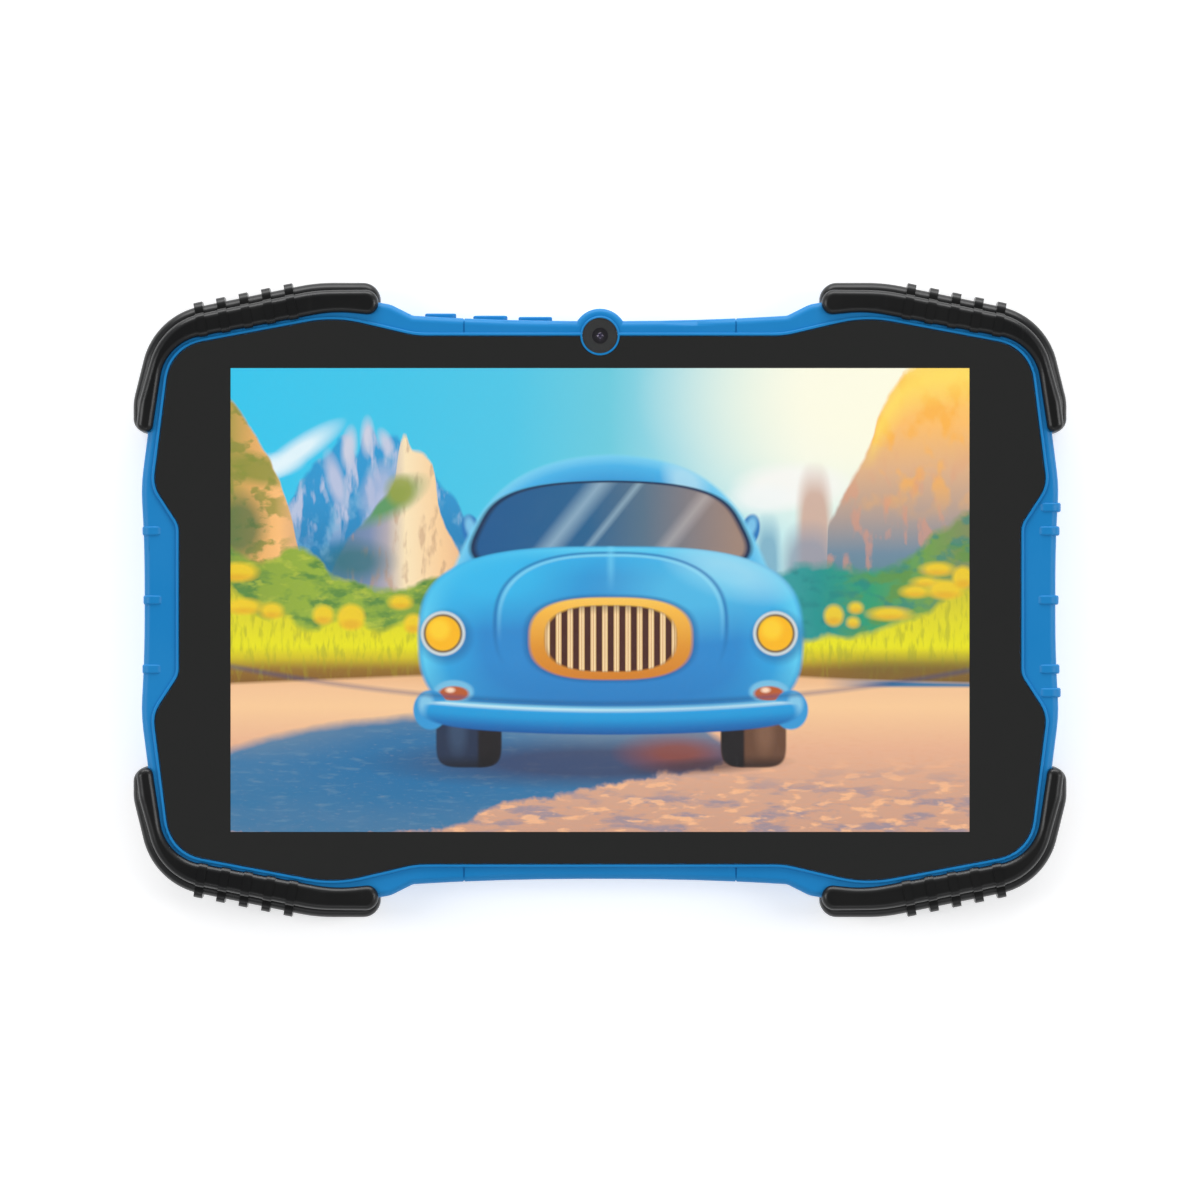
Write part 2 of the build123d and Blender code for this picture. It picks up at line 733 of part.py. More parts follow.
# --- Buttons -------------------------------------------------------------------------------------
@cache
def button(x, width):
    """Button cap with an inner flange and a nub that meets its switch."""
    wall_y = long_edge_y(x)
    corner_levels = [long_edge_y(abs(x) + side * width / 2) for side in (-1, 1)]
    lean = max(wall_y - corner_levels[0], corner_levels[1] - wall_y)
    flange_y = wall_y - shell_wall - lean - slide_gap
    cap = block(centred(width, x), (flange_y - 0.1, wall_y + button_proud), centred(button_height, button_z))
    cap = fillet(cap.edges().filter_by(Axis.Y), button_height / 2 - 0.05)
    cap = fillet(cap.edges().group_by(Axis.Y)[-1], 0.4)
    flange = block(centred(width + 2 * button_flange_extra, x),
                   (flange_y - button_flange_thickness, flange_y), centred(button_height - 0.3, button_z))
    nub_low = flange_y - button_flange_thickness - button_nub
    nub = Pos(x, nub_low, button_z) * Rot(-90, 0, 0) * extrude(Circle(0.8), button_nub + 0.1)
    return cap + flange + nub


def nub_end_y(x, width):
    """Y of the inner end of a button's nub at rest."""
    return button(x, width).bounding_box().min.Y


@cache
def button_board_y():
    """Y of the back of the button board, which suits the innermost button."""
    reach = switch_stem + switch_depth + button_board_thickness + button_travel + seat_gap
    return min(nub_end_y(x, width) for x, width in button_sizes()) - reach


def button_board():
    """Narrow board that carries the three switches."""
    low_x = power_x - power_width / 2 - button_board_end
    high_x = volume_up_x + volume_up_width / 2 + button_board_end
    y = button_board_y()
    return block((low_x, high_x), (y, y + button_board_thickness), centred(button_height, button_z))


def button_switches():
    """Three snap switches, each with the stem that its button presses."""
    group = []
    base = button_board_y() + button_board_thickness
    for x, width in button_sizes():
        body = block(centred(switch_width, x), (base, base + switch_depth), centred(switch_height, button_z))
        stem_end = nub_end_y(x, width) - button_travel - seat_gap
        stem = Pos(x, base + switch_depth, button_z) * Rot(-90, 0, 0)
        stem *= extrude(Circle(0.7), stem_end - base - switch_depth)
        group.append(body + stem)
    return Compound(group)


def button_flex():
    """Ribbon from the button board to the main board, along the inside of the frame."""
    y = button_board_y() + button_board_thickness / 2
    start_x = power_x - power_width / 2 - button_board_end - seat_gap
    points = ((start_x, y), (start_x - 5, y), (button_plug_x(), board_width / 2))
    strip = extrude(thicken_line(FilletPolyline(*points, radius=3.0), flex_thickness), 1.8)
    return Pos(0, 0, mid_plate_z - 2.1) * strip


def button_plug_x():
    """Centre of the board's button socket along X."""
    return board_right - 9


# --- Ports ---------------------------------------------------------------------------------------
def usb_socket():
    """Pressed steel socket shell with its contact tongue."""
    front, back = port_face_x, port_face_x + usb_length
    shell = block((front, back), centred(usb_width, usb_y), centred(usb_height, port_z))
    shell = fillet(shell.edges().filter_by(Axis.X), usb_height / 2 - 0.05)
    mouth = block((front - 1, back - 1.4), centred(usb_width - 2 * usb_wall, usb_y),
                  centred(usb_height - 2 * usb_wall, port_z))
    mouth = fillet(mouth.edges().filter_by(Axis.X), usb_height / 2 - usb_wall - 0.05)
    tongue = block((front + 0.8, back - 1.0), centred(usb_tongue_width, usb_y),
                   centred(usb_tongue_thickness, port_z))
    return shell - mouth + tongue


def headphone_jack():
    """Jack socket, sunk into a notch of the main board."""
    body = block((port_face_x, port_face_x + jack_length), centred(jack_width, jack_y),
                 centred(jack_body_height, port_z))
    body = fillet(body.edges().filter_by(Axis.X), 0.8)
    bore = Pos(port_face_x, jack_y, port_z) * Rot(0, 90, 0)
    bore *= extrude(Circle(jack_bore_radius), jack_length - jack_back_wall)
    return body - bore


def card_socket():
    """Memory-card socket."""
    back = port_face_x + card_length
    low = board_top_z
    body = block((port_face_x, back), centred(card_width, card_y), (low, low + card_height))
    slot_low = low + (card_height - card_slot_height) / 2
    slot = block((port_face_x - 1, back - 1.5), centred(card_width - 1.2, card_y),
                 (slot_low, slot_low + card_slot_height))
    return body - slot


def microphone():
    """Small can microphone on the edge of the main board."""
    return block((board_left + 0.2, board_left + 3.0), centred(3.8, microphone_y),
                 (board_top_z, board_top_z + 1.1))


# --- Main board ----------------------------------------------------------------------------------
def main_board():
    """Circuit board with the ports along its outer edge."""
    spans = ((board_left, board_left + board_length), centred(board_width))
    board = fillet(block(*spans, (board_z, board_top_z)).edges().filter_by(Axis.Z), 1.5)
    notch_end = port_face_x + jack_length + board_notch_margin
    notch_width = jack_width + 2 * board_notch_margin
    board -= block((board_left - 1, notch_end), centred(notch_width, jack_y), (0, front_z))
    for x, y in board_post_places() + board_stud_places():
        board -= upright(small_screw_radius + screw_gap, 0, front_z, x, y)
    return board


def chip(x, y, length, width, height, top):
    """Chip on the top or the bottom face of the board."""
    span = (board_top_z, board_top_z + height) if top else (board_z - height, board_z)
    return block(centred(length, x), centred(width, y), span)


def board_chips():
    """Processor, memory, power and radio chips, and the larger passive parts."""
    x = board_mid_x
    chips = [chip(x + 4, 12, 14, 14, 1.1, False), chip(x + 4, -4, 11, 9, 1.0, False)]
    chips += [chip(x - 12, 12, 9, 9, 0.9, False), chip(x - 10, -14, 6, 6, 0.8, False)]
    chips += [chip(x + 12, -20, 5, 7, 0.9, False), chip(x + 8, 26, 6, 5, 1.2, False)]
    chips += [chip(x - 6 + 3 * index, -27, 1.6, 0.9, 0.7, False) for index in range(6)]
    chips += [chip(x + 16, 20 - 2.6 * index, 1.0, 1.8, 0.6, False) for index in range(5)]
    return Compound(chips)


def board_connectors():
    """Sockets for the display, touch, button, battery and speaker leads."""
    flex_x = display_flex_x() - 6
    sockets = [chip(flex_x, display_flex_y, 4.0, display_flex_width + 2, flex_socket_height, True)]
    sockets.append(chip(touch_flex_x() + 3.2, touch_flex_y, 3.6, touch_flex_width, flex_socket_height, True))
    sockets.append(chip(button_plug_x(), board_width / 2 - 4.5, 3.0, 6.0, 1.0, True))
    sockets.append(chip(board_right - 3, battery_plug_y, 4.0, 6.0, 2.2, False))
    sockets.append(chip(speaker_plug_x(), 3.5 - board_width / 2, 6.0, 4.0, 1.6, False))
    return Compound(sockets)


def shield_can():
    """Pressed tin cover over the processor and the memory."""
    x = board_mid_x
    spans = (centred(19.0, x + 4), centred(32.0, 4.0))
    outer = block(*spans, (board_z - 1.7, board_z))
    outer = fillet(outer.edges().filter_by(Axis.Z), 1.0)
    inner = block(centred(18.6, x + 4), centred(31.6, 4.0), (board_z - 1.5, board_z + 1))
    return outer - inner


def board_studs():
    """Brass studs riveted in the mid plate under the board's inner edge."""
    studs = []
    for x, y in board_stud_places():
        stud = upright(small_boss_radius, board_top_z, mid_plate_z + mid_plate_thickness, x, y)
        studs.append(stud - upright(small_screw_radius + screw_gap, 0, mid_plate_z, x, y))
    return Compound(studs)


# --- Battery and sound ---------------------------------------------------------------------------
def battery_cell(index):
    """One pouch cell of the battery."""
    x0 = battery_left + index * (battery_cell_length + battery_gap)
    spans = ((x0, x0 + battery_cell_length), centred(battery_cell_width, battery_y))
    cell = block(*spans, (battery_z, battery_z + battery_thickness))
    return fillet(cell.edges().filter_by(Axis.Y), 1.2)


def battery_tape():
    """Two strips of tape that hold each cell to the mid plate."""
    strips = []
    high = mid_plate_z
    for index in range(2):
        x = battery_left + battery_cell_length / 2 + index * (battery_cell_length + battery_gap)
        for y in (battery_y - 24, battery_y + 24):
            strips.append(block(centred(44.0, x), centred(12.0, y), (high - battery_tape_thickness, high)))
    return Compound(strips)


def protection_board():
    """Battery protection board along the cells' upper edge."""
    x0 = battery_left + 6
    y0 = battery_y + battery_cell_width / 2 + 0.4
    return block((x0, x0 + 44.0), (y0, y0 + protection_board_depth), (battery_z + 1.2, battery_z + 2.2))


def lead(points, radius, corner):
    """Insulated wire along straight runs joined by arcs."""
    path = FilletPolyline(*points, radius=corner)
    start = Plane(origin=path @ 0, z_dir=path % 0)
    return sweep(start * Circle(radius), path=path)


def battery_leads():
    """Two wires from the protection board to the main board."""
    wires = []
    y0 = battery_y + battery_cell_width / 2 + 2.0
    plug_y = battery_plug_y - 0.6
    for index in range(2):
        drop = lead_pitch * index
        level = board_z - 1.1
        x_down = battery_left - 1.4 - drop
        points = ((battery_left + 5.8, y0 + drop, battery_z + 1.7), (x_down, y0 + drop, battery_z + 1.7),
                  (x_down, y0 - 8 + drop, level), (x_down, plug_y + drop, level),
                  (board_right - 0.9, plug_y + drop, level))
        wires.append(lead(points, 0.5, 0.9))
    return Compound(wires)


def speaker(side):
    """Boxed speaker over its slots in the rear cover."""
    low = floor_z + part_gap
    box = block(centred(speaker_length, side * speaker_x), centred(speaker_width, speaker_y),
                (low, low + speaker_depth))
    box = fillet(box.edges().filter_by(Axis.Z), 2.0)
    return box - upright(5.5, low - 1, low + 0.8, side * speaker_x, speaker_y)


def speaker_cones():
    """Speaker diaphragms, one in the mouth of each box."""
    low = floor_z + part_gap
    discs = []
    for side in (-1, 1):
        disc = upright(5.2, low + 0.4, low + 0.8, side * speaker_x, speaker_y)
        dome = Pos(side * speaker_x, speaker_y, low + 0.4) * Sphere(3.0)
        dome &= upright(2.6, low + 0.05, low + 0.41, side * speaker_x, speaker_y)
        discs.append(disc + dome)
    return Compound(discs)


def speaker_mesh():
    """Dust mesh stuck behind each row of sound slots."""
    low = floor_z
    span = speaker_slot_pitch * speaker_slot_count + 1.5
    return Compound([block(centred(span, side * speaker_x), centred(speaker_slot_length + 2, speaker_y),
                           (low, low + 0.2)) for side in (-1, 1)])


def speaker_plug_x():
    """Centre of the board's speaker socket along X."""
    return board_right - 11


def speaker_leads():
    """Twin wires from each speaker to the main board."""
    level = floor_z + 1.2
    board_edge = -board_width / 2 + 1.4
    box_x = speaker_x - speaker_length / 2
    top_y = speaker_y + speaker_width / 2
    wires = []
    for index in range(2):
        shift = lead_pitch * index
        left_x = speaker_plug_x() - 0.3 - shift
        start = Pos(left_x, top_y + 0.1, level) * Rot(-90, 0, 0)
        wires.append(start * extrude(Circle(0.5), board_edge - top_y - 0.1))
        start_y = top_y - 3.5 + shift
        run_y = top_y + 1.5 + shift
        plug_x = speaker_plug_x() + 1.0 + shift
        turn_x = box_x - 5 + shift
        points = ((box_x - 0.1, start_y, level), (turn_x, start_y, level), (turn_x, run_y, level),
                  (plug_x, run_y, level), (plug_x, board_edge, level))
        wires.append(lead(points, 0.5, 1.5))
    return Compound(wires)


# --- Rear camera and radio -----------------------------------------------------------------------
def rear_camera_ring():
    """Trim ring round the rear camera."""
    outer = rear_camera_hole_radius + rear_camera_ring_width
    low = rear_z - rear_camera_ring_proud
    ring = upright(outer, low, rear_z, rear_camera_x, rear_camera_y)
    ring = fillet(level_edges(ring, low), 0.3)
    ring += upright(rear_camera_hole_radius - seat_gap, rear_z - 0.1, floor_z, rear_camera_x, rear_camera_y)
    return ring - upright(rear_camera_hole_radius - 0.7, 0, floor_z + 1, rear_camera_x, rear_camera_y)


def rear_camera_window():
    """Clear window inside the rear camera's ring."""
    low = rear_z - 0.2
    radius = rear_camera_hole_radius - 0.7 - seat_gap
    return upright(radius, low, low + 0.8, rear_camera_x, rear_camera_y)


def rear_camera():
    """Rear camera module and its lens barrel."""
    base = floor_z + part_gap
    size = rear_camera_module_size
    body = block(centred(size, rear_camera_x), centred(size, rear_camera_y), (base, base + 2.4))
    barrel = upright(2.9, rear_z + 0.8, base + 0.1, rear_camera_x, rear_camera_y)
    return body + barrel - upright(1.4, 0, rear_z + 1.4, rear_camera_x, rear_camera_y)


def antenna():
    """Radio antenna foil inside the right end of the rear cover."""
    x1 = end_x - shell_end_waist_inset - shell_wall - 1.2
    return block((x1 - 7.0, x1), centred(34.0, 0.0), (floor_z, floor_z + 0.2))


def antenna_cable():
    """Thin coaxial cable from the antenna to the main board."""
    x1 = end_x - shell_end_waist_inset - shell_wall - 4.0
    upper_y = side_y - 20.0
    level = floor_z + 0.9
    inner_x = board_right - 5
    points = ((x1, 16.0, level), (x1, upper_y - 8, level), (inner_x, upper_y - 8, level),
              (inner_x, board_width / 2 - 4, level))
    return lead(points, 0.55, 4.0)


def touch_flex_x():
    """Where the touch ribbon passes down beside the display."""
    return -panel_length / 2 - part_gap - 0.8


def touch_flex():
    """Ribbon from the touch sensor down to the main board."""
    x = touch_flex_x()
    low = board_top_z + flex_socket_height + 0.1
    points = ((x + 1.2, glass_z - 0.16), (x, glass_z - 0.16), (x, low), (x + 5.0, low))
    line = FilletPolyline(*points, radius=0.5)
    strip = extrude(Plane.XZ * thicken_line(line, flex_thickness), touch_flex_width / 2, both=True)
    return Pos(0, touch_flex_y, 0) * strip


# --- Fasteners -----------------------------------------------------------------------------------
def screw(x, y, seat, shank, radius, head_radius, head_height, drive):
    """Pan-head screw that points up, with a cross recess in its head."""
    head = upright(head_radius, seat - head_height, seat, x, y)
    head = fillet(level_edges(head, seat - head_height), head_height * 0.35)
    body = head + chamfer_tip(upright(radius, seat - 0.1, seat + shank, x, y), seat + shank, radius)
    for angle in (0, 90):
        cross = Pos(x, y, seat - head_height) * Rot(0, 0, angle) * Box(2 * drive, drive * 0.35, head_height)
        body -= cross
    return body


def chamfer_tip(shank, level, radius):
    """Shank with its end bevelled."""
    return chamfer(level_edges(shank, level), radius * 0.4)


def case_screws():
    """Eight screws that close the rear cover to the frame."""
    shank = shelf_z - head_seat_z
    return Compound([screw(x, y, head_seat_z, shank, case_screw_radius, case_screw_head_radius,
                           case_screw_head_height, case_screw_drive) for x, y in screw_places()])


def plate_screws():
    """Screws that hold the mid plate to the frame."""
    return Compound([screw(x, y, mid_plate_z, shelf_z - mid_plate_z - 0.2, small_screw_radius,
                           small_screw_head_radius, small_screw_head_height, small_screw_drive)
                     for x, y in plate_screw_places()])


def board_screws():
    """Screws that hold the main board to its posts and studs."""
    return Compound([screw(x, y, board_z, 3.4, small_screw_radius, small_screw_head_radius,
                           small_screw_head_height, small_screw_drive)
                     for x, y in board_post_places() + board_stud_places()])


def build_pieces():
    """Every piece by its node name."""
    bumper = corner_bumper()
    left_bumper = mirror(bumper, Plane.YZ)
    pieces = {
        "front_frame": front_frame(),
        "rear_cover": rear_cover(),
        "bumper_top_right": bumper,
        "bumper_top_left": left_bumper,
        "bumper_bottom_right": mirror(bumper, Plane.XZ),
        "bumper_bottom_left": mirror(left_bumper, Plane.XZ),
        "touch_glass": touch_glass(),
        "glass_border_print": glass_border_print(),
        "glass_gasket": glass_gasket(),
        "lcd_cell": lcd_cell(),
        "backlight_unit": backlight_unit(),
        "mid_plate": mid_plate(),
        "display_flex": display_flex(),
        "touch_flex": touch_flex(),
        "camera_window": camera_window(),
        "front_camera": front_camera(),
        "front_camera_lens": front_camera_lens(),
        "power_button": button(power_x, power_width),
        "volume_down_button": button(volume_down_x, volume_down_width),
        "volume_up_button": button(volume_up_x, volume_up_width),
        "button_board": button_board(),
        "button_switches": button_switches(),
        "button_flex": button_flex(),
        "usb_socket": usb_socket(),
        "headphone_jack": headphone_jack(),
        "card_socket": card_socket(),
        "microphone": microphone(),
        "main_board": main_board(),
        "board_chips": board_chips(),
        "board_connectors": board_connectors(),
        "shield_can": shield_can(),
        "board_studs": board_studs(),
        "battery_cell_left": battery_cell(0),
        "battery_cell_right": battery_cell(1),
        "battery_tape": battery_tape(),
        "protection_board": protection_board(),
        "battery_leads": battery_leads(),
        "speaker_left": speaker(-1),
        "speaker_right": speaker(1),
        "speaker_cones": speaker_cones(),
        "speaker_mesh": speaker_mesh(),
        "speaker_leads": speaker_leads(),
        "rear_camera": rear_camera(),
        "rear_camera_ring": rear_camera_ring(),
        "rear_camera_window": rear_camera_window(),
        "antenna": antenna(),
        "antenna_cable": antenna_cable(),
        "case_screws": case_screws(),
        "plate_screws": plate_screws(),
        "board_screws": board_screws(),
    }
    return pieces


os.makedirs("parts", exist_ok=True)
for name, piece in build_pieces().items():
    export_step(piece, f"parts/{name}.step")
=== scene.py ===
"""A small child's tablet computer in rubber corner bumpers, lying on its back on a pale table."""

import math

import bpy
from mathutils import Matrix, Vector


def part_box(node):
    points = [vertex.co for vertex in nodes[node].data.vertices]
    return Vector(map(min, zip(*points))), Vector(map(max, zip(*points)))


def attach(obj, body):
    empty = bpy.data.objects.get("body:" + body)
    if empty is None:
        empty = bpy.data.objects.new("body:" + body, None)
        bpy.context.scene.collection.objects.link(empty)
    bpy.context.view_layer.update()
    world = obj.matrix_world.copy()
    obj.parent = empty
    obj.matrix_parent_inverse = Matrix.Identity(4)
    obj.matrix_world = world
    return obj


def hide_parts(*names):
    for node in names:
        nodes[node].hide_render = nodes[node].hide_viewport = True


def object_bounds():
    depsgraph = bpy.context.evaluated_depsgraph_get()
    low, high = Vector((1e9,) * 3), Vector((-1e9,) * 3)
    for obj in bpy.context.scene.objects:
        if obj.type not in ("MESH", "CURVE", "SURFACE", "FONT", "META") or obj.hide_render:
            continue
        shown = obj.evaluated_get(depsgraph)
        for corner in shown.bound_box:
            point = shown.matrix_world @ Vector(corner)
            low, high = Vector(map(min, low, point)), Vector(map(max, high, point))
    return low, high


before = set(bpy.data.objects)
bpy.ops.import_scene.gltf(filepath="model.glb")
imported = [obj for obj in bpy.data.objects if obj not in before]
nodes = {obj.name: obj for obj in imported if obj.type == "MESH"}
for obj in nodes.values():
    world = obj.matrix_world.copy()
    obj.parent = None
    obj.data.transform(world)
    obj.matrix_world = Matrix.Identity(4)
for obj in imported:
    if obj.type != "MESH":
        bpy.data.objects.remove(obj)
cad_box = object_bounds()
bpy.ops.object.select_all(action="DESELECT")
mm = 0.001

# ---------------------------------------------------------------------------------------------
# Studio. A plain white table under the tablet, a long lens straight above it, a broad soft lamp
# beyond the edge that has the keys, a weaker one on the near side, and an even pale room. The
# room is dim right overhead, so that the flat glass stays dark.
# ---------------------------------------------------------------------------------------------
view_across = 279.3 * mm
lens_length, film_width = 250.0, 36.0
camera_height = view_across / 2 * lens_length / (film_width / 2)
bpy.ops.object.camera_add(location=(0, 0, camera_height + cad_box[1].z), rotation=(0, 0, 0))
camera = bpy.context.object
camera.data.lens = lens_length
camera.data.sensor_width = film_width
camera.data.clip_end = 100.0
bpy.context.scene.camera = camera
bpy.context.scene.view_settings.view_transform = "Standard"

bpy.ops.mesh.primitive_plane_add(size=14.0, location=(0, 0, 0))
table_top = bpy.context.object
table_top.name = "table_top"
paper = bpy.data.materials.new("white_paper")
paper.use_nodes = True
paper_shader = paper.node_tree.nodes["Principled BSDF"]
paper_shader.inputs["Base Color"].default_value = (0.9, 0.9, 0.9, 1)
paper_shader.inputs["Roughness"].default_value = 0.9
paper_shader.inputs["Specular IOR Level"].default_value = 0.1
paper_shader.inputs["Emission Color"].default_value = (1, 1, 1, 1)
paper_shader.inputs["Emission Strength"].default_value = 0.42
table_top.data.materials.append(paper)


def soft_lamp(name, place, size, power):
    """A rectangular softbox that faces the tablet."""
    turn = (-Vector(place)).to_track_quat("-Z", "Y").to_euler()
    bpy.ops.object.light_add(type="AREA", location=place, rotation=turn)
    lamp = bpy.context.object
    lamp.name = name
    lamp.data.shape = "RECTANGLE"
    lamp.data.size, lamp.data.size_y = size
    lamp.data.energy = power


soft_lamp("far_softbox", (0.0, 1.7, 0.5), (2.2, 0.9), 28.0)
soft_lamp("left_softbox", (-1.4, 0.1, 1.2), (0.6, 1.2), 9.0)
soft_lamp("right_softbox", (1.4, 0.1, 1.2), (0.6, 1.2), 9.0)
soft_lamp("near_softbox", (0.0, -1.6, 1.3), (1.2, 0.4), 2.0)

room = bpy.data.worlds.new("pale_room")
bpy.context.scene.world = room
room.use_nodes = True
room_links = room.node_tree.links
room_nodes = room.node_tree.nodes
room_direction = room_nodes.new("ShaderNodeTexCoord")
room_height = room_nodes.new("ShaderNodeSeparateXYZ")
room_ramp = room_nodes.new("ShaderNodeValToRGB")
room_links.new(room_direction.outputs["Generated"], room_height.inputs["Vector"])
room_links.new(room_height.outputs["Z"], room_ramp.inputs["Fac"])
room_links.new(room_ramp.outputs["Color"], room_nodes["Background"].inputs["Color"])
room_ramp.color_ramp.elements[0].position = 0.78
room_ramp.color_ramp.elements[0].color = (0.66, 0.67, 0.69, 1)
room_ramp.color_ramp.elements[1].position = 0.97
room_ramp.color_ramp.elements[1].color = (0.2, 0.2, 0.2, 1)
room_nodes["Background"].inputs["Strength"].default_value = 0.75

# ---------------------------------------------------------------------------------------------
# Blue shells. Two ABS mouldings, screwed together from behind: the front frame with its raised
# lip, and the rear cover. The mould's spark-eroded face leaves a fine satin grain, and handling
# leaves faint rubbed patches.
# ---------------------------------------------------------------------------------------------


def new_group(name, inputs, output):
    """An empty shader group with number inputs and one output, and its inner ends."""
    group = bpy.data.node_groups.new(name, "ShaderNodeTree")
    for label, value in inputs.items():
        socket = group.interface.new_socket(label, in_out="INPUT", socket_type="NodeSocketFloat")
        socket.default_value = value
    group.interface.new_socket(output, in_out="OUTPUT", socket_type="NodeSocketFloat")
    return group, group.nodes.new("NodeGroupInput"), group.nodes.new("NodeGroupOutput")


def noise_at(tree, scale, detail=2.0, stretch=None):
    """Noise in the piece's own coordinates, with a scale for each metre."""
    place = tree.nodes.new("ShaderNodeTexCoord")
    noise = tree.nodes.new("ShaderNodeTexNoise")
    noise.inputs["Detail"].default_value = detail
    if stretch:
        mapping = tree.nodes.new("ShaderNodeMapping")
        mapping.inputs["Scale"].default_value = stretch
        tree.links.new(place.outputs["Object"], mapping.inputs["Vector"])
        tree.links.new(mapping.outputs["Vector"], noise.inputs["Vector"])
    else:
        tree.links.new(place.outputs["Object"], noise.inputs["Vector"])
    if isinstance(scale, (int, float)):
        noise.inputs["Scale"].default_value = scale
    else:
        tree.links.new(scale, noise.inputs["Scale"])
    return noise.outputs["Fac"]


def sums(tree, operation, a, b=None, c=None, clamp=False):
    """A Math node on sockets or plain numbers."""
    node = tree.nodes.new("ShaderNodeMath")
    node.operation = operation
    node.use_clamp = clamp
    for index, value in enumerate((a, b, c)):
        if value is None:
            continue
        if isinstance(value, (int, float)):
            node.inputs[index].default_value = value
        else:
            tree.links.new(value, node.inputs[index])
    return node.outputs[0]


# Height of the mould grain: fine pits over a slower ripple.
mould_grain, grain_in, grain_out = new_group("mould_grain", {"Grain": 3000.0}, "Height")
grain_fine = noise_at(mould_grain, grain_in.outputs["Grain"], 3.0)
grain_slow = noise_at(mould_grain, sums(mould_grain, "MULTIPLY", grain_in.outputs["Grain"], 0.22), 1.0)
grain_height = sums(mould_grain, "MULTIPLY_ADD", grain_slow, 0.6, grain_fine)
mould_grain.links.new(grain_height, grain_out.inputs["Height"])

# Rubbed patches and fine hairlines that handling leaves, 0 where fresh and 1 where most rubbed.
handling, handling_in, handling_out = new_group("handling_marks", {"Patches": 45.0}, "Rubbed")
patches = noise_at(handling, handling_in.outputs["Patches"], 4.0)
hair = noise_at(handling, 900.0, 2.0, stretch=(1.0, 0.06, 1.0))
hair = sums(handling, "GREATER_THAN", hair, 0.68)
patches = sums(handling, "MULTIPLY_ADD", patches, 2.2, -0.75, clamp=True)
rubbed = sums(handling, "MULTIPLY_ADD", hair, 0.25, patches, clamp=True)
handling.links.new(rubbed, handling_out.inputs["Rubbed"])


def place_group(tree, group, **values):
    """A group in a material, with its own values."""
    node = tree.nodes.new("ShaderNodeGroup")
    node.node_tree = group
    for label, value in values.items():
        node.inputs[label].default_value = value
    return node.outputs[0]


def blend_colours(tree, factor, first, second):
    """Mix of two colours, which are sockets or plain colours, by a mask."""
    node = tree.nodes.new("ShaderNodeMix")
    node.data_type = "RGBA"
    node.clamp_factor = True
    for socket, value in ((node.inputs[0], factor), (node.inputs[6], first), (node.inputs[7], second)):
        if isinstance(value, bpy.types.NodeSocket):
            tree.links.new(value, socket)
        else:
            socket.default_value = value
    return node.outputs[2]


def material_of(name):
    """A new material, its tree and its shader."""
    material = bpy.data.materials.new(name)
    material.use_nodes = True
    return material, material.node_tree, material.node_tree.nodes["Principled BSDF"]


def bumped(tree, shader, height, depth):
    """Bump of that depth in metres into the shader's normal."""
    bump = tree.nodes.new("ShaderNodeBump")
    bump.inputs["Distance"].default_value = depth
    tree.links.new(height, bump.inputs["Height"])
    tree.links.new(bump.outputs["Normal"], shader.inputs["Normal"])


def moulded(name, colour, rubbed_colour, roughness, rubbed_roughness, grain, grain_depth, sheen=0.5):
    """Moulded plastic or rubber: grain in the bump, rubbed patches in colour and roughness."""
    material, tree, shader = material_of(name)
    marks = place_group(tree, handling, Patches=45.0)
    tree.links.new(blend_colours(tree, marks, (*colour, 1), (*rubbed_colour, 1)),
                   shader.inputs["Base Color"])
    worn = sums(tree, "MULTIPLY_ADD", marks, rubbed_roughness - roughness, roughness)
    tree.links.new(worn, shader.inputs["Roughness"])
    shader.inputs["Specular IOR Level"].default_value = sheen
    bumped(tree, shader, place_group(tree, mould_grain, Grain=grain), grain_depth)
    return material


def dress(material, *names):
    """Gives CAD nodes a material."""
    for name in names:
        nodes[name].data.materials.clear()
        nodes[name].data.materials.append(material)


blue_plastic = moulded("blue_satin_plastic", (0.006, 0.216, 0.54), (0.01, 0.23, 0.56), 0.4, 0.48,
                       3200.0, 0.012 * mm, 0.28)
dress(blue_plastic, "front_frame", "rear_cover")

# ---------------------------------------------------------------------------------------------
# Bumpers. Four soft rubber corners, clipped over the shells, each with a thick side band, a
# front and a rear ridge, and five raised ribs. The rubber is near black with a dull sheen.
# ---------------------------------------------------------------------------------------------
black_rubber = moulded("black_rubber", (0.004, 0.0042, 0.0045), (0.0065, 0.0063, 0.006), 0.26, 0.36,
                       2200.0, 0.012 * mm, 0.45)
dress(black_rubber, "bumper_top_left", "bumper_top_right", "bumper_bottom_left", "bumper_bottom_right")

# ---------------------------------------------------------------------------------------------
# Display. A liquid-crystal cell shows a cartoon landscape with a plain blue car on a road. The
# picture is lit from behind, so it is the cell's own light, laid down here from back to front
# in millimetres from the middle of the screen. Each part of it is a shader group.
# ---------------------------------------------------------------------------------------------
picture_width, picture_height = 172.2, 108.1
screen, screen_tree, screen_shader = material_of("lit_picture")


class PicturePart:
    """Part of the picture: its node tree, the values it takes in, and the colour laid so far."""

    def __init__(self, tree, sockets, colour):
        self.tree = tree
        self.sockets = sockets
        self.colour = colour


parts = [PicturePart(screen_tree, {}, None)]


def open_part(name):
    """Starts a group that takes in the picture so far and lays more over it."""
    tree = bpy.data.node_groups.new(name, "ShaderNodeTree")
    tree.interface.new_socket("Under", in_out="INPUT", socket_type="NodeSocketColor")
    for label in parts[0].sockets:
        tree.interface.new_socket(label, in_out="INPUT", socket_type="NodeSocketFloat")
    tree.interface.new_socket("Picture", in_out="OUTPUT", socket_type="NodeSocketColor")
    taken_in = tree.nodes.new("NodeGroupInput").outputs
    parts.append(PicturePart(tree, taken_in, taken_in["Under"]))


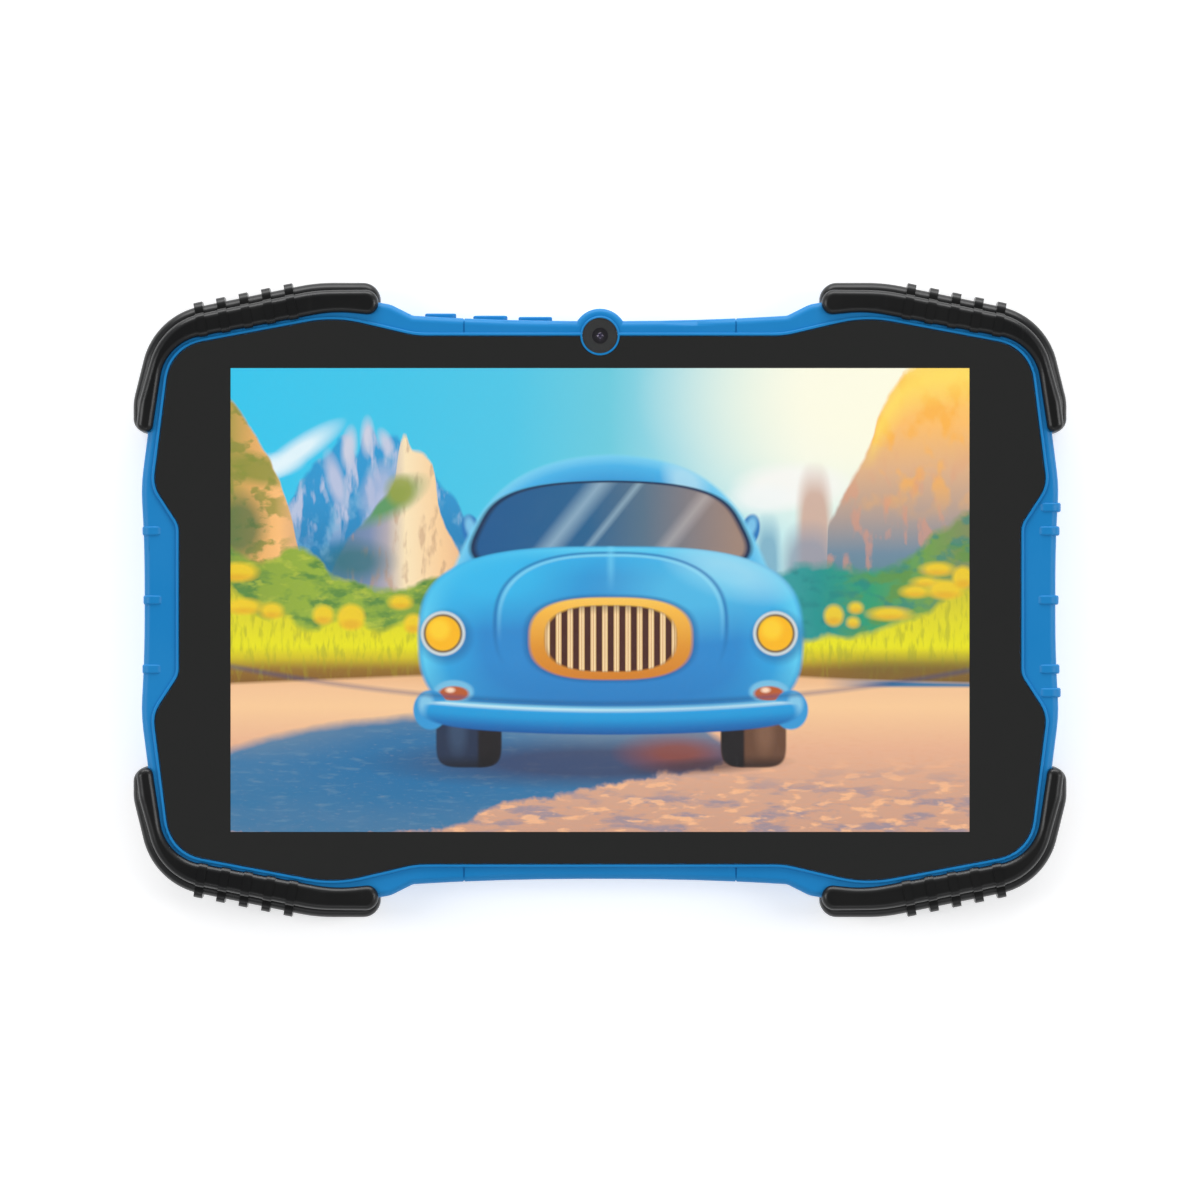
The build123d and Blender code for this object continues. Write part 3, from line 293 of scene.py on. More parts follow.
class Reading:
    """A value that changes over the screen. Sums on it add Math nodes to the picture."""

    def __init__(self, socket):
        self.socket = socket

    def __add__(self, other):
        return reading("ADD", self, other)

    def __sub__(self, other):
        return reading("SUBTRACT", self, other)

    def __rsub__(self, other):
        return reading("SUBTRACT", other, self)

    def __mul__(self, other):
        return reading("MULTIPLY", self, other)

    def __truediv__(self, other):
        return reading("DIVIDE", self, other)

    def __pow__(self, other):
        return reading("POWER", self, other)

    def __abs__(self):
        return reading("ABSOLUTE", self)


class SharedReading(Reading):
    """A reading that every part of the picture takes in."""

    def __init__(self, label):
        self.label = label

    @property
    def socket(self):
        return parts[-1].sockets[self.label]


def reading(operation, a, b=None, clamp=False):
    """Reading from a Math node on readings or numbers."""
    a = a.socket if isinstance(a, Reading) else float(a)
    if b is not None:
        b = b.socket if isinstance(b, Reading) else float(b)
    return Reading(sums(parts[-1].tree, operation, a, b, clamp=clamp))


def held(value):
    """Reading kept between 0 and 1."""
    return reading("ADD", value, 0.0, clamp=True)


screen_place = screen_tree.nodes.new("ShaderNodeTexCoord")
screen_axes = screen_tree.nodes.new("ShaderNodeSeparateXYZ")
screen_tree.links.new(screen_place.outputs["Object"], screen_axes.inputs["Vector"])
across = Reading(screen_axes.outputs["X"]) * 1000.0
up = Reading(screen_axes.outputs["Y"]) * 1000.0
share_across = across / picture_width + 0.5
share_up = up / picture_height + 0.5


def brush_noise(size_x, size_y, seed, detail=2.0):
    """Soft noise whose blotches have that size in millimetres."""
    tree = parts[-1].tree
    point = tree.nodes.new("ShaderNodeCombineXYZ")
    tree.links.new((across / size_x).socket, point.inputs["X"])
    tree.links.new((up / size_y).socket, point.inputs["Y"])
    point.inputs["Z"].default_value = seed
    noise = tree.nodes.new("ShaderNodeTexNoise")
    noise.inputs["Scale"].default_value = 1.0
    noise.inputs["Detail"].default_value = detail
    tree.links.new(point.outputs["Vector"], noise.inputs["Vector"])
    return Reading(noise.outputs["Fac"])


wobble = (brush_noise(4.0, 4.0, 1.3) - 0.5) * 4.0
fine_wobble = (brush_noise(1.4, 1.4, 5.1) - 0.5) * 1.6
for label, value in (("Across", across), ("Up", up), ("Share across", share_across), ("Share up", share_up),
                     ("Wobble", wobble), ("Fine wobble", fine_wobble)):
    parts[0].sockets[label] = value.socket
across, up = SharedReading("Across"), SharedReading("Up")
share_across, share_up = SharedReading("Share across"), SharedReading("Share up")
wobble, fine_wobble = SharedReading("Wobble"), SharedReading("Fine wobble")


def flecks(size_x, size_y, seed, low, high, detail=3.0):
    """Mask of noise blotches between two noise levels."""
    return held((brush_noise(size_x, size_y, seed, detail) - low) / (high - low))


def skyline(*points):
    """Height that follows given points (across, up), as a hill's outline does."""
    tree = parts[-1].tree
    curve = tree.nodes.new("ShaderNodeFloatCurve")
    tree.links.new(share_across.socket, curve.inputs["Value"])
    line = curve.mapping.curves[0].points
    line[0].location = (0.0, points[0][1] / picture_height + 0.5)
    line[1].location = (1.0, points[-1][1] / picture_height + 0.5)
    for x, y in points[1:-1]:
        line.new(x / picture_width + 0.5, y / picture_height + 0.5)
    curve.mapping.update()
    return (Reading(curve.outputs["Value"]) - 0.5) * picture_height


def below(height, soft=1.0):
    """Mask of what lies under a height."""
    return held((height - up) / soft + 0.5)


def right_of(x, soft=1.0):
    """Mask of what lies to the right of a line."""
    return held((across - x) / soft + 0.5)


def oval_distance(x, y, half_x, half_y, turn=0.0, squareness=2.0):
    """0 at the middle of an oval, 1 on its edge. A squareness over 2 fills its corners."""
    dx = across - x
    dy = up - y
    if turn:
        cosine, sine = math.cos(math.radians(turn)), math.sin(math.radians(turn))
        dx, dy = dx * cosine + dy * sine, dy * cosine - dx * sine
    total = abs(dx / half_x) ** squareness + abs(dy / half_y) ** squareness
    return total ** (1.0 / squareness)


def oval(x, y, half_x, half_y, soft=0.5, turn=0.0, squareness=2.0):
    """Mask of an oval with a soft edge."""
    distance = oval_distance(x, y, half_x, half_y, turn, squareness)
    return held((1.0 - distance) * (min(half_x, half_y) / soft) + 0.5)


def paint(red, green, blue):
    """Screen colour from its three 0 to 255 levels."""
    levels = [level / 255 for level in (red, green, blue)]
    lit = [level / 12.92 if level <= 0.04045 else ((level + 0.055) / 1.055) ** 2.4 for level in levels]
    return (*lit, 1.0)


def graded(position, *stops):
    """Colour that runs through (share, colour) stops as a reading goes from 0 to 1."""
    tree = parts[-1].tree
    ramp = tree.nodes.new("ShaderNodeValToRGB")
    tree.links.new(position.socket, ramp.inputs["Fac"])
    elements = ramp.color_ramp.elements
    while len(elements) < len(stops):
        elements.new(0.5)
    for element, (share, colour) in zip(elements, sorted(stops)):
        element.position = share
        element.color = colour
    return ramp.outputs["Color"]


def lay(colour, mask):
    """Lays a colour over the picture so far."""
    parts[-1].colour = blend_colours(parts[-1].tree, mask.socket, parts[-1].colour, colour)


# Sky, from cyan on the left to a warm glow in the upper right, and its clouds
open_part("sky")
parts[-1].colour = graded(
    share_across, (0.0, paint(45, 196, 235)), (0.2, paint(58, 196, 232)), (0.38, paint(74, 197, 229)),
    (0.51, paint(104, 202, 221)), (0.6, paint(155, 216, 228)), (0.7, paint(205, 234, 231)),
    (0.78, paint(240, 246, 236)), (1.0, paint(250, 250, 226)))
lay(paint(172, 230, 238), held(right_of(20, 24.0) * held((34.0 - up) / 26.0) * 0.75))
lay(paint(255, 252, 226), oval(62, 48, 34, 22, soft=26.0) * 0.8)
lay(paint(228, 245, 251), oval(-70.5, 34.5, 9.0, 2.2, soft=2.4, turn=34) * 0.95)
lay(paint(228, 245, 251), oval(-78.0, 31.0, 6.5, 2.2, soft=2.4, turn=8) * 0.95)
lay(paint(248, 247, 242), oval(45, 26.5, 11.5, 4.6, soft=3.0) * 0.9)
lay(paint(243, 247, 245), oval(38, 23.5, 7.0, 3.0, soft=2.5) * 0.8)

# Blue mountains on the left, with pale streaks of light rock
open_part("mountains")
far_ridge = skyline((-86, 12), (-78, 15), (-73, 22), (-68, 30), (-63, 34), (-59, 38), (-57, 34),
                    (-54, 40.5), (-51, 36), (-48.5, 39), (-45, 35), (-41, 33), (-38, 28), (-34, 24),
                    (-31, 18), (-27, 10), (86, -50))
mountain = below(far_ridge + wobble * 0.8, 1.4)
lay(graded(share_up, (0.55, paint(22, 118, 172)), (0.72, paint(42, 146, 203)), (0.9, paint(36, 158, 214))),
    mountain)
lay(paint(186, 196, 222), mountain * flecks(2.6, 9.0, 3.7, 0.5, 0.62) * held((up - 12.0) / 8.0) * 0.95)
lay(paint(120, 178, 214), mountain * flecks(3.4, 5.0, 8.2, 0.52, 0.66) * 0.6)
lay(paint(206, 208, 224), oval(-58.5, 35.5, 1.5, 4.0, soft=1.4, turn=-6) * 0.9)
lay(paint(206, 208, 224), oval(-54.2, 38.0, 1.3, 3.6, soft=1.4) * 0.9)
lay(paint(200, 204, 224), oval(-49.8, 36.5, 1.3, 2.8, soft=1.4, turn=24) * 0.9)
lay(paint(190, 196, 222), oval(-61.5, 27.5, 1.7, 6.0, soft=1.6, turn=16) * 0.9)
lay(paint(172, 184, 216), oval(-51.5, 25.5, 3.4, 6.0, soft=3.0, turn=-18) * 0.8)

# Tan rock beside them: violet on the left, cream where the sun falls
open_part("tan_rock")
near_rock = skyline((-86, -50), (-64, 2), (-60, 12), (-56, 17), (-51, 23), (-48, 27), (-46.6, 36.5),
                    (-45.4, 38.5), (-44, 35), (-41.5, 34), (-39, 31), (-37.6, 22), (-35, 15), (-32, 10),
                    (-28, 2), (86, -50))
rock = below(near_rock + wobble * 0.6, 1.2)
lay(graded(held((across + 64) / 34), (0.0, paint(60, 118, 150)), (0.3, paint(120, 140, 176)),
           (0.42, paint(176, 168, 176)), (0.55, paint(250, 228, 186)), (0.8, paint(248, 206, 154)),
           (1.0, paint(232, 178, 134))), rock)
lay(paint(190, 150, 118), rock * flecks(2.0, 6.0, 2.2, 0.54, 0.66) * 0.55)
lay(paint(86, 152, 92), rock * oval(-50, 23, 8.5, 3.4, soft=3.0, turn=28) * 0.95)
lay(paint(150, 160, 62), oval(-46.5, 25.5, 3.2, 3.4, soft=2.2) * 0.85)

# Tan cliff at the left edge, with bushes on its ledges
open_part("left_cliff")
left_cliff = skyline((-86, 46.5), (-82, 41), (-79, 36), (-76, 30.5), (-73, 23), (-71, 15), (-69.2, 5),
                     (-68.6, -10), (-68, -50), (86, -50))
cliff = below(left_cliff + wobble * 0.5, 1.2)
lay(graded(held((across + 86) / 18), (0.0, paint(176, 154, 72)), (0.3, paint(228, 172, 98)),
           (0.62, paint(250, 190, 120)), (1.0, paint(206, 164, 128))), cliff)
lay(paint(134, 140, 56), cliff * flecks(4.0, 3.0, 6.6, 0.5, 0.6) * held((-71.0 - across) / 5.0) * 0.8)
lay(paint(66, 108, 62), cliff * oval(-84, 17, 5.5, 7.0, soft=4.0) * 0.8)
lay(paint(132, 142, 52), cliff * oval(-80, 30.5, 7.0, 3.2, soft=2.4, turn=-16) * 0.85)

# Right side: two slender pillars and the great cliff in the glow
open_part("right_cliff")
lay(paint(120, 172, 196), oval(39.2, 8.0, 2.6, 9.5, soft=1.8, squareness=3.0) * 0.9)
lay(paint(206, 172, 154), oval(50.0, 14.0, 3.7, 14.6, soft=2.0, squareness=3.0) * 0.95)
lay(paint(140, 150, 168), oval(48.6, 5.0, 5.6, 11.0, soft=3.0, squareness=3.0) * 0.8)
right_cliff = skyline((-86, -50), (50, -50), (53, 16), (56, 23), (60, 30), (63, 36), (65, 43), (69, 50),
                      (73, 56), (86, 56))
glow_cliff = below(right_cliff + wobble * 0.7, 1.8)
lay(graded(share_up, (0.5, paint(70, 130, 140)), (0.6, paint(110, 138, 158)), (0.68, paint(176, 156, 146)),
           (0.78, paint(222, 176, 134)), (0.88, paint(252, 190, 104)), (1.0, paint(254, 208, 98))),
           glow_cliff)
lay(paint(252, 178, 62), glow_cliff * flecks(6.0, 8.0, 4.4, 0.5, 0.62) * held((up - 18.0) / 12.0) * 0.75)
lay(paint(224, 150, 118), glow_cliff * flecks(3.0, 7.0, 9.4, 0.52, 0.64) * held((38.0 - up) / 16.0) * 0.5)
sunlit_brow = below(right_cliff - 1.0, 6.0) * held(1.0 - below(right_cliff - 7.0, 8.0))
lay(paint(255, 226, 96), glow_cliff * sunlit_brow * held((up - 30.0) / 10.0) * 0.8)

# Bushes and slopes
open_part("slopes")
left_slope = skyline((-86, 12), (-78, 9), (-72, 12), (-66, 10), (-62, 5), (-56, 4), (-50, 2.5), (-44, 3),
                     (-38, 5.5), (-30, 6), (-22, 2), (86, -50))
left_green = below(left_slope + wobble * 0.9, 1.6)
lay(paint(44, 110, 118), oval(-57, 9, 7.0, 4.0, soft=4.0) * 0.8)
lay(graded(held((across + 86) / 50), (0.0, paint(134, 160, 56)), (0.45, paint(150, 178, 58)),
           (1.0, paint(122, 158, 62))), left_green)
lay(paint(78, 132, 62), left_green * flecks(6.0, 3.4, 7.7, 0.48, 0.62) * 0.85)
lay(paint(186, 196, 66), left_green * flecks(4.0, 2.0, 12.5, 0.56, 0.68) * 0.6)
right_slope = skyline((-86, -50), (28, -20), (40, 5), (50, 8), (58, 7), (66, 7), (72, 10), (78, 15),
                      (86, 21))
right_green = below(right_slope + wobble, 2.4)
lay(graded(held((across - 36) / 50), (0.0, paint(64, 160, 168)), (0.3, paint(30, 146, 140)),
           (0.55, paint(44, 156, 112)), (0.8, paint(112, 158, 74)), (1.0, paint(128, 140, 92))),
           right_green)
tufts = flecks(5.0, 3.0, 15.5, 0.48, 0.6)
lay(paint(96, 146, 66), right_green * tufts * held((across - 52.0) / 14.0) * 0.8)
lay(paint(24, 128, 128), right_green * flecks(4.0, 3.0, 18.1, 0.52, 0.64) * 0.6)

# Flower meadow: yellow heads over blurred stems that darken towards the road
open_part("meadow")
left_meadow = skyline((-86, 3), (-82, -1), (-78, -4), (-74, -3), (-68, -7), (-62, -5), (-58, -3.5),
                      (-53, -7), (-48, -6), (-42, -5), (-34, -8), (86, -50))
right_meadow = skyline((-86, -50), (36, -16), (44, -10), (50, -9), (58, -8.5), (64, -7.5), (70, -5),
                       (76, -3), (82, 1), (86, 3))
meadow = held(below(left_meadow + wobble * 0.8, 2.0) + below(right_meadow + wobble * 0.8, 2.0))
lay(graded(share_up, (0.325, paint(112, 84, 34)), (0.35, paint(150, 116, 38)), (0.372, paint(206, 186, 34)),
           (0.40, paint(232, 226, 18)), (0.46, paint(222, 214, 34)), (0.52, paint(206, 196, 44))), meadow)
lay(paint(170, 170, 40), meadow * flecks(1.2, 5.0, 21.0, 0.5, 0.64) * 0.55)
lay(paint(88, 92, 44), meadow * right_of(56, 14.0) * held((-11.5 - up) / 5.0) * 0.7)
lay(paint(148, 100, 40), meadow * held((-13.5 - up) / 4.0) * 0.5)
flower_heads = ((-84.5, 6.5, 4.6, 2.2), (-83, -1.5, 4.0, 1.8), (-76.5, -2.5, 2.6, 1.8),
                (-64.5, -3.5, 2.4, 2.2), (-58.0, -4.0, 3.2, 3.0), (-46.5, -0.5, 2.6, 1.6),
                (-43.5, -5.5, 2.2, 2.2), (54.5, -3.6, 2.2, 2.4), (59.6, -1.8, 1.6, 1.3),
                (67.5, -3.2, 4.6, 1.5), (73.5, 2.0, 3.2, 1.4), (78.6, 7.2, 3.6, 1.5),
                (76.0, 4.2, 3.0, 1.1), (80.5, 2.4, 4.0, 2.2), (84.6, 5.2, 2.4, 2.6),
                (59.0, -5.2, 1.4, 1.2))
for head_x, head_y, head_width, head_height in flower_heads:
    lay(paint(240, 204, 36), oval(head_x, head_y, head_width, head_height, soft=1.2) * 0.95)
    lay(paint(222, 150, 34), oval(head_x, head_y - head_height * 0.55, head_width * 0.7, head_height * 0.35,
                                  soft=1.0) * 0.5)

# Road, sunlit near the verge and mottled towards the viewer
open_part("road")
road_edge = skyline((-86, -19.5), (-60, -18.4), (-34, -17.4), (0, -17.0), (40, -17.6), (60, -18.6),
                    (86, -19.4))
road = below(road_edge, 0.9)
lay(graded(share_up, (0.0, paint(206, 158, 134)), (0.09, paint(212, 164, 138)),
           (0.18, paint(232, 178, 144)),
           (0.27, paint(248, 202, 152)), (0.31, paint(244, 196, 150)), (0.345, paint(232, 178, 128))), road)
lay(paint(60, 118, 160), road * right_of(60, 16.0) * held((up + 20.6) / 0.7))
lay(paint(142, 136, 154), road * flecks(11.0, 3.0, 31.0, 0.5, 0.6, 4.0) * held((-38.0 - up) / 9.0) * 0.75)
lay(paint(250, 190, 142), road * flecks(6.0, 2.0, 34.0, 0.55, 0.63, 5.0) * held((-36.0 - up) / 8.0) * 0.8)
lay(paint(226, 160, 120), road * flecks(2.0, 0.6, 37.0, 0.5, 0.66, 5.0) * held((-26.0 - up) / 12.0) * 0.35)

# Blue shade of something tall, across the lower left and under the car
open_part("shade")
shade_top = skyline((-86, -35), (-74, -31.5), (-60, -29), (-36, -27), (0, -26), (20, -27), (28, -33),
                    (34, -37.5), (40, -44), (86, -54))
shade_foot = skyline((-86, -54), (-40, -53.9), (-33, -52.5), (-24, -48.0), (-12, -46), (0, -43.5),
                     (12, -41.0), (24, -39.5), (34, -37.0), (86, -37))
shade_end = held(1.0 - below(shade_foot + wobble * 0.9 + fine_wobble, 1.2))
shade = below(shade_top + wobble * 0.3, 2.4) * shade_end
lay(graded(share_up, (0.0, paint(58, 118, 160)), (0.08, paint(34, 114, 162)), (0.15, paint(40, 116, 164)),
           (0.21, paint(96, 132, 160))), shade * 0.97)
lay(paint(32, 110, 162), shade * oval(-40, -37, 28, 10, soft=9.0) * 0.85)
lay(paint(98, 138, 168), shade * flecks(6.0, 1.1, 41.0, 0.56, 0.68, 5.0) * 0.55)
lay(paint(132, 144, 164), shade * flecks(2.0, 0.5, 44.0, 0.6, 0.72, 5.0) * 0.4)
lay(paint(58, 52, 84), oval(0, -38, 40, 4.6, soft=4.0) * shade * 0.75)
lay(paint(150, 72, 40), oval(18, -35.5, 10, 3.4, soft=4.0) * 0.75)
lay(paint(66, 50, 56), oval(25, -38.6, 14, 1.5, soft=1.6, turn=3) * 0.7)

# Tyres
open_part("tyres")
for tyre_x, tread_turn, tread in ((-30.6, 1, paint(34, 48, 74)), (35.8, -1, paint(104, 70, 50))):
    tyre = oval(tyre_x, -32.4, 7.6, 6.6, soft=0.5, squareness=4.0)
    lay(tread, tyre)
    lay(paint(24, 20, 22), tyre * held((across - tyre_x) * tread_turn / 0.8 - 2.2))
    lay(paint(150, 110, 84) if tread_turn < 0 else paint(70, 96, 128),
        tyre * oval(tyre_x - 2.6 * tread_turn, -31.0, 2.0, 4.6, soft=2.0) * 0.45)
    lay(paint(12, 12, 16), tyre * held((-36.0 - up) / 2.4) * 0.7)

# Car: cabin, mirrors, windscreen
open_part("cabin")
car_x = 2.5
for side in (-1, 1):
    lay(paint(36, 118, 186), oval(car_x + side * 32.4, 16.0, 2.2, 4.0, soft=0.5, turn=-14 * side))
    lay(paint(132, 206, 240), oval(car_x + side * 32.8, 17.2, 1.1, 2.2, soft=0.9, turn=-14 * side) * 0.8)
lean = (up - 12.0) * 0.42
cabin_across = abs(across - car_x) + lean
cabin_form = ((cabin_across / 34.6) ** 3.2 + (abs(up - 8.0) / 26.0) ** 3.2) ** (1.0 / 3.2)
cabin = held((1.0 - cabin_form) * 30.0 + 0.5)
lay(graded(held(cabin_form), (0.72, paint(44, 140, 204)), (0.9, paint(70, 178, 230)),
           (1.0, paint(122, 208, 240))),
    cabin)
lay(paint(176, 222, 240), cabin * oval(20, 27.5, 5.0, 3.2, soft=3.0, turn=-42) * 0.8)
pane_across = abs(across - car_x) + (up - 12.0) * 0.5
pane_form = ((pane_across / 32.2) ** 3.4 + (abs(up - 17.0) / 10.4) ** 3.4) ** (1 / 3.4)
pane = held((1.0 - pane_form) * 26.0 + 0.5)
lay(paint(14, 42, 78), held((1.045 - pane_form) * 26.0 + 0.5))
lay(graded(held((across + 26) / 58), (0.0, paint(22, 88, 142)), (0.4, paint(34, 96, 140)),
           (0.62, paint(84, 112, 134)),
           (1.0, paint(158, 132, 118))), pane)
lay(paint(196, 226, 238), pane * held(1.0 - abs(across + 8.0 - (up - 17.0) * 0.8) / 4.2) * 0.42)
lay(paint(196, 226, 238), pane * held(1.0 - abs(across - 1.0 - (up - 17.0) * 0.8) / 1.6) * 0.35)
lay(paint(214, 206, 204), pane * held(1.0 - abs(across - 19.0 - (up - 17.0) * 0.8) / 3.2) * 0.35)
lay(paint(16, 58, 104), pane * held((10.6 - up) / 2.0) * 0.7)

# Car: body with its bonnet
open_part("car_body")
body_form = oval_distance(car_x, -9.0, 44.8, 21.5, squareness=3.0)
body = held((1.0 - body_form) * 44.0 + 0.5)
lay(graded(held(body_form), (0.0, paint(46, 132, 200)), (0.66, paint(40, 136, 204)),
           (0.86, paint(46, 166, 224)),
           (0.97, paint(92, 204, 240)), (1.0, paint(64, 168, 220))), body)
lay(paint(52, 186, 236), body * oval(-24, 5, 17, 8, soft=9.0) * 0.85)
lay(paint(184, 226, 240), body * oval(30, 6.4, 11, 4.4, soft=5.0, turn=-16) * 0.8)
lay(paint(92, 206, 242), body * oval(22, 2, 17, 8, soft=9.0) * 0.6)
lay(paint(36, 118, 186), body * held((-14.0 - up) / 9.0) * 0.6)
bonnet = oval_distance(car_x, -6.0, 27.0, 17.0, squareness=2.6)
lay(paint(26, 104, 172), body * held(1.0 - abs(bonnet - 1.0) * 34.0) * held((up + 16.0) / 10.0) * 0.75)
lay(paint(150, 220, 244), body * held(1.0 - abs(bonnet - 0.965) * 34.0) * held((up + 10.0) / 14.0) * 0.6)
lay(paint(120, 212, 244), body * held(1.0 - abs(across - car_x) / 1.3) * held((up - 1.5) / 6.0) * 0.5)

# Car: radiator grille, a brass surround over plain upright bars
open_part("radiator")
surround = oval_distance(car_x, -9.0, 19.0, 9.6, squareness=2.8)
lay(paint(24, 92, 156), held((1.06 - surround) * 12.0 + 0.5) * 0.7)
lay(graded(held((up + 20.0) / 22.0), (0.0, paint(206, 122, 36)), (0.4, paint(222, 146, 44)),
           (0.8, paint(246, 186, 70)),
           (1.0, paint(250, 206, 96))), held((1.0 - surround) * 18.0 + 0.5))
opening = held((0.8 - surround) * 18.0 + 0.5)
lay(paint(72, 34, 26), opening)
bar_phase = reading("PINGPONG", across - car_x, 1.35) / 1.35
lay(graded(bar_phase, (0.35, paint(96, 46, 30)), (0.55, paint(214, 168, 112)), (0.8, paint(250, 226, 176)),
           (1.0, paint(214, 164, 108))), opening * held((bar_phase - 0.42) * 8.0))
lay(paint(60, 26, 22), opening * held((up + 3.4) / 2.4) * 0.6)

# Car: headlamps, small amber lamps and the front bumper
open_part("car_lamps")
for lamp_x in (-36.6, 40.9):
    lay(paint(28, 96, 160), oval(lamp_x + 0.6, -8.6, 6.0, 6.0, soft=2.0) * 0.6)
    lay(paint(206, 214, 216), oval(lamp_x, -7.8, 5.2, 5.2, soft=0.5))
    lay(paint(110, 92, 66), oval(lamp_x, -7.8, 4.5, 4.5, soft=0.5))
    lay(paint(250, 184, 22), oval(lamp_x, -7.8, 4.0, 4.0, soft=0.5))
    lay(paint(254, 212, 48), oval(lamp_x - 0.9, -6.8, 2.4, 2.4, soft=1.6) * 0.8)
for lamp_x in (-34.1, 39.4):
    lay(paint(116, 190, 226), oval(lamp_x, -21.4, 4.6, 2.7, soft=0.6))
    lay(paint(186, 92, 44), oval(lamp_x, -21.8, 3.5, 1.7, soft=0.5))
    lay(paint(250, 214, 186), oval(lamp_x - 0.8, -21.0, 1.0, 0.6, soft=0.6))
bar_level = up + 28.0 - abs(across - car_x) ** 2.0 * 0.0011
bar_form = ((abs(across - car_x) / 43.5) ** 8.0 + (abs(bar_level) / 3.4) ** 2.6) ** (1.0 / 2.6)
for side in (-1, 1):
    lay(paint(52, 152, 212), oval(car_x + side * 42.0, -25.6, 4.0, 4.6, soft=0.5))
    lay(paint(150, 214, 238), oval(car_x + side * 43.0, -24.2, 1.7, 2.4, soft=1.2) * 0.7)
lay(paint(12, 62, 124), held(1.0 - abs(bar_level - 3.9)) * 0.45)
bar = held((1.0 - bar_form) * 8.0 + 0.5)
lay(graded(held(bar_level / 7.0 + 0.5), (0.0, paint(14, 84, 156)), (0.22, paint(20, 112, 182)),
           (0.5, paint(26, 150, 212)),
           (0.72, paint(34, 158, 220)), (0.84, paint(196, 232, 244)), (0.9, paint(120, 198, 232)),
           (1.0, paint(20, 96, 164))), bar)
lay(paint(28, 140, 206), bar * held(1.0 - abs(across - 26.0) / 34.0) * held((bar_level - 1.4) * 0.8) * 0.3)

# The parts stacked in order
picture_so_far = None
for part in parts[1:]:
    part_end = part.tree.nodes.new("NodeGroupOutput")
    part.tree.links.new(part.colour, part_end.inputs["Picture"])
    part_node = screen_tree.nodes.new("ShaderNodeGroup")
    part_node.node_tree = part.tree
    for label, socket in parts[0].sockets.items():
        screen_tree.links.new(socket, part_node.inputs[label])
    if picture_so_far:
        screen_tree.links.new(picture_so_far, part_node.inputs["Under"])
    picture_so_far = part_node.outputs["Picture"]
screen_tree.links.new(picture_so_far, screen_shader.inputs["Emission Color"])
screen_shader.inputs["Emission Strength"].default_value = 1.06
screen_shader.inputs["Base Color"].default_value = (0.01, 0.01, 0.012, 1)
screen_shader.inputs["Roughness"].default_value = 0.35
dress(screen, "lcd_cell")

# ---------------------------------------------------------------------------------------------
# Cover glass over its black printed border. The border is screen-printed ink on the underside
# of the glass; a faint painted glow in the ink lifts it to a very dark grey in place of the room
# light that the glass keeps from it. The adhesive frame holds the glass to the shelf of the
# front shell.
# ---------------------------------------------------------------------------------------------
black_ink_painted_glow, ink_tree, ink_shader = material_of("black_border_ink_painted_glow")
ink_mottle = noise_at(ink_tree, 260.0, 3.0)
ink_tree.links.new(blend_colours(ink_tree, ink_mottle, (0.03, 0.03, 0.03, 1), (0.034, 0.034, 0.034, 1)),
                   ink_shader.inputs["Base Color"])
ink_tree.links.new(blend_colours(ink_tree, ink_mottle, (0.94, 0.97, 0.96, 1), (1.0, 1.0, 0.98, 1)),
                   ink_shader.inputs["Emission Color"])
# Painted glow: a faint emission that stands in for the room light the glass keeps from the ink.
ink_shader.inputs["Emission Strength"].default_value = 0.0185
ink_shader.inputs["Roughness"].default_value = 0.6
ink_shader.inputs["Specular IOR Level"].default_value = 0.1
dress(black_ink_painted_glow, "glass_border_print")

clear_glass, glass_tree, glass_shader = material_of("cover_glass")
glass_smear = place_group(glass_tree, handling, Patches=28.0)
glass_tree.links.new(sums(glass_tree, "MULTIPLY_ADD", glass_smear, 0.02, 0.01),
                     glass_shader.inputs["Roughness"])
glass_shader.inputs["Base Color"].default_value = (1, 1, 1, 1)
glass_shader.inputs["Transmission Weight"].default_value = 1.0
glass_shader.inputs["IOR"].default_value = 1.5
dress(clear_glass, "touch_glass", "rear_camera_window")

gasket_foam, gasket_tree, gasket_shader = material_of("adhesive_foam")
gasket_cells = noise_at(gasket_tree, 2600.0, 2.0)
gasket_tree.links.new(blend_colours(gasket_tree, gasket_cells, (0.02, 0.02, 0.02, 1),
                                    (0.06, 0.06, 0.06, 1)),
                      gasket_shader.inputs["Base Color"])
gasket_shader.inputs["Roughness"].default_value = 0.85
bumped(gasket_tree, gasket_shader, gasket_cells, 0.05 * mm)
dress(gasket_foam, "glass_gasket", "battery_tape")

# ---------------------------------------------------------------------------------------------
# Black mouldings: camera modules, sockets, speaker boxes and chips. Glass-filled nylon and
# epoxy, with a finer and duller face than the shells.
# ---------------------------------------------------------------------------------------------
black_nylon = moulded("black_nylon", (0.011, 0.011, 0.012), (0.02, 0.02, 0.02), 0.45, 0.6, 2600.0,
                      0.014 * mm)
dress(black_nylon, "front_camera", "headphone_jack", "card_socket", "board_chips", "speaker_left",
      "speaker_right", "rear_camera", "board_connectors")
dress(blue_plastic, "power_button", "volume_down_button", "volume_up_button")

# ---------------------------------------------------------------------------------------------
# Front camera. A round cover glass sits flush in the blue ring. Under it lie a black printed
# mask and the coated lens: a stepped barrel mouth round a small dome.
# ---------------------------------------------------------------------------------------------
window_low, window_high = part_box("camera_window")
window_middle = (window_low + window_high) / 2
window_radius = (window_high.x - window_low.x) / 2
window_depth = window_high.z - window_low.z
cover_depth = window_depth * 0.4
lens_box_low, lens_box_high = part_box("front_camera_lens")
lens_radius = (lens_box_high.x - lens_box_low.x) / 2
stack_top = window_high.z - cover_depth - 0.02 * mm
stack_depth = stack_top - window_low.z

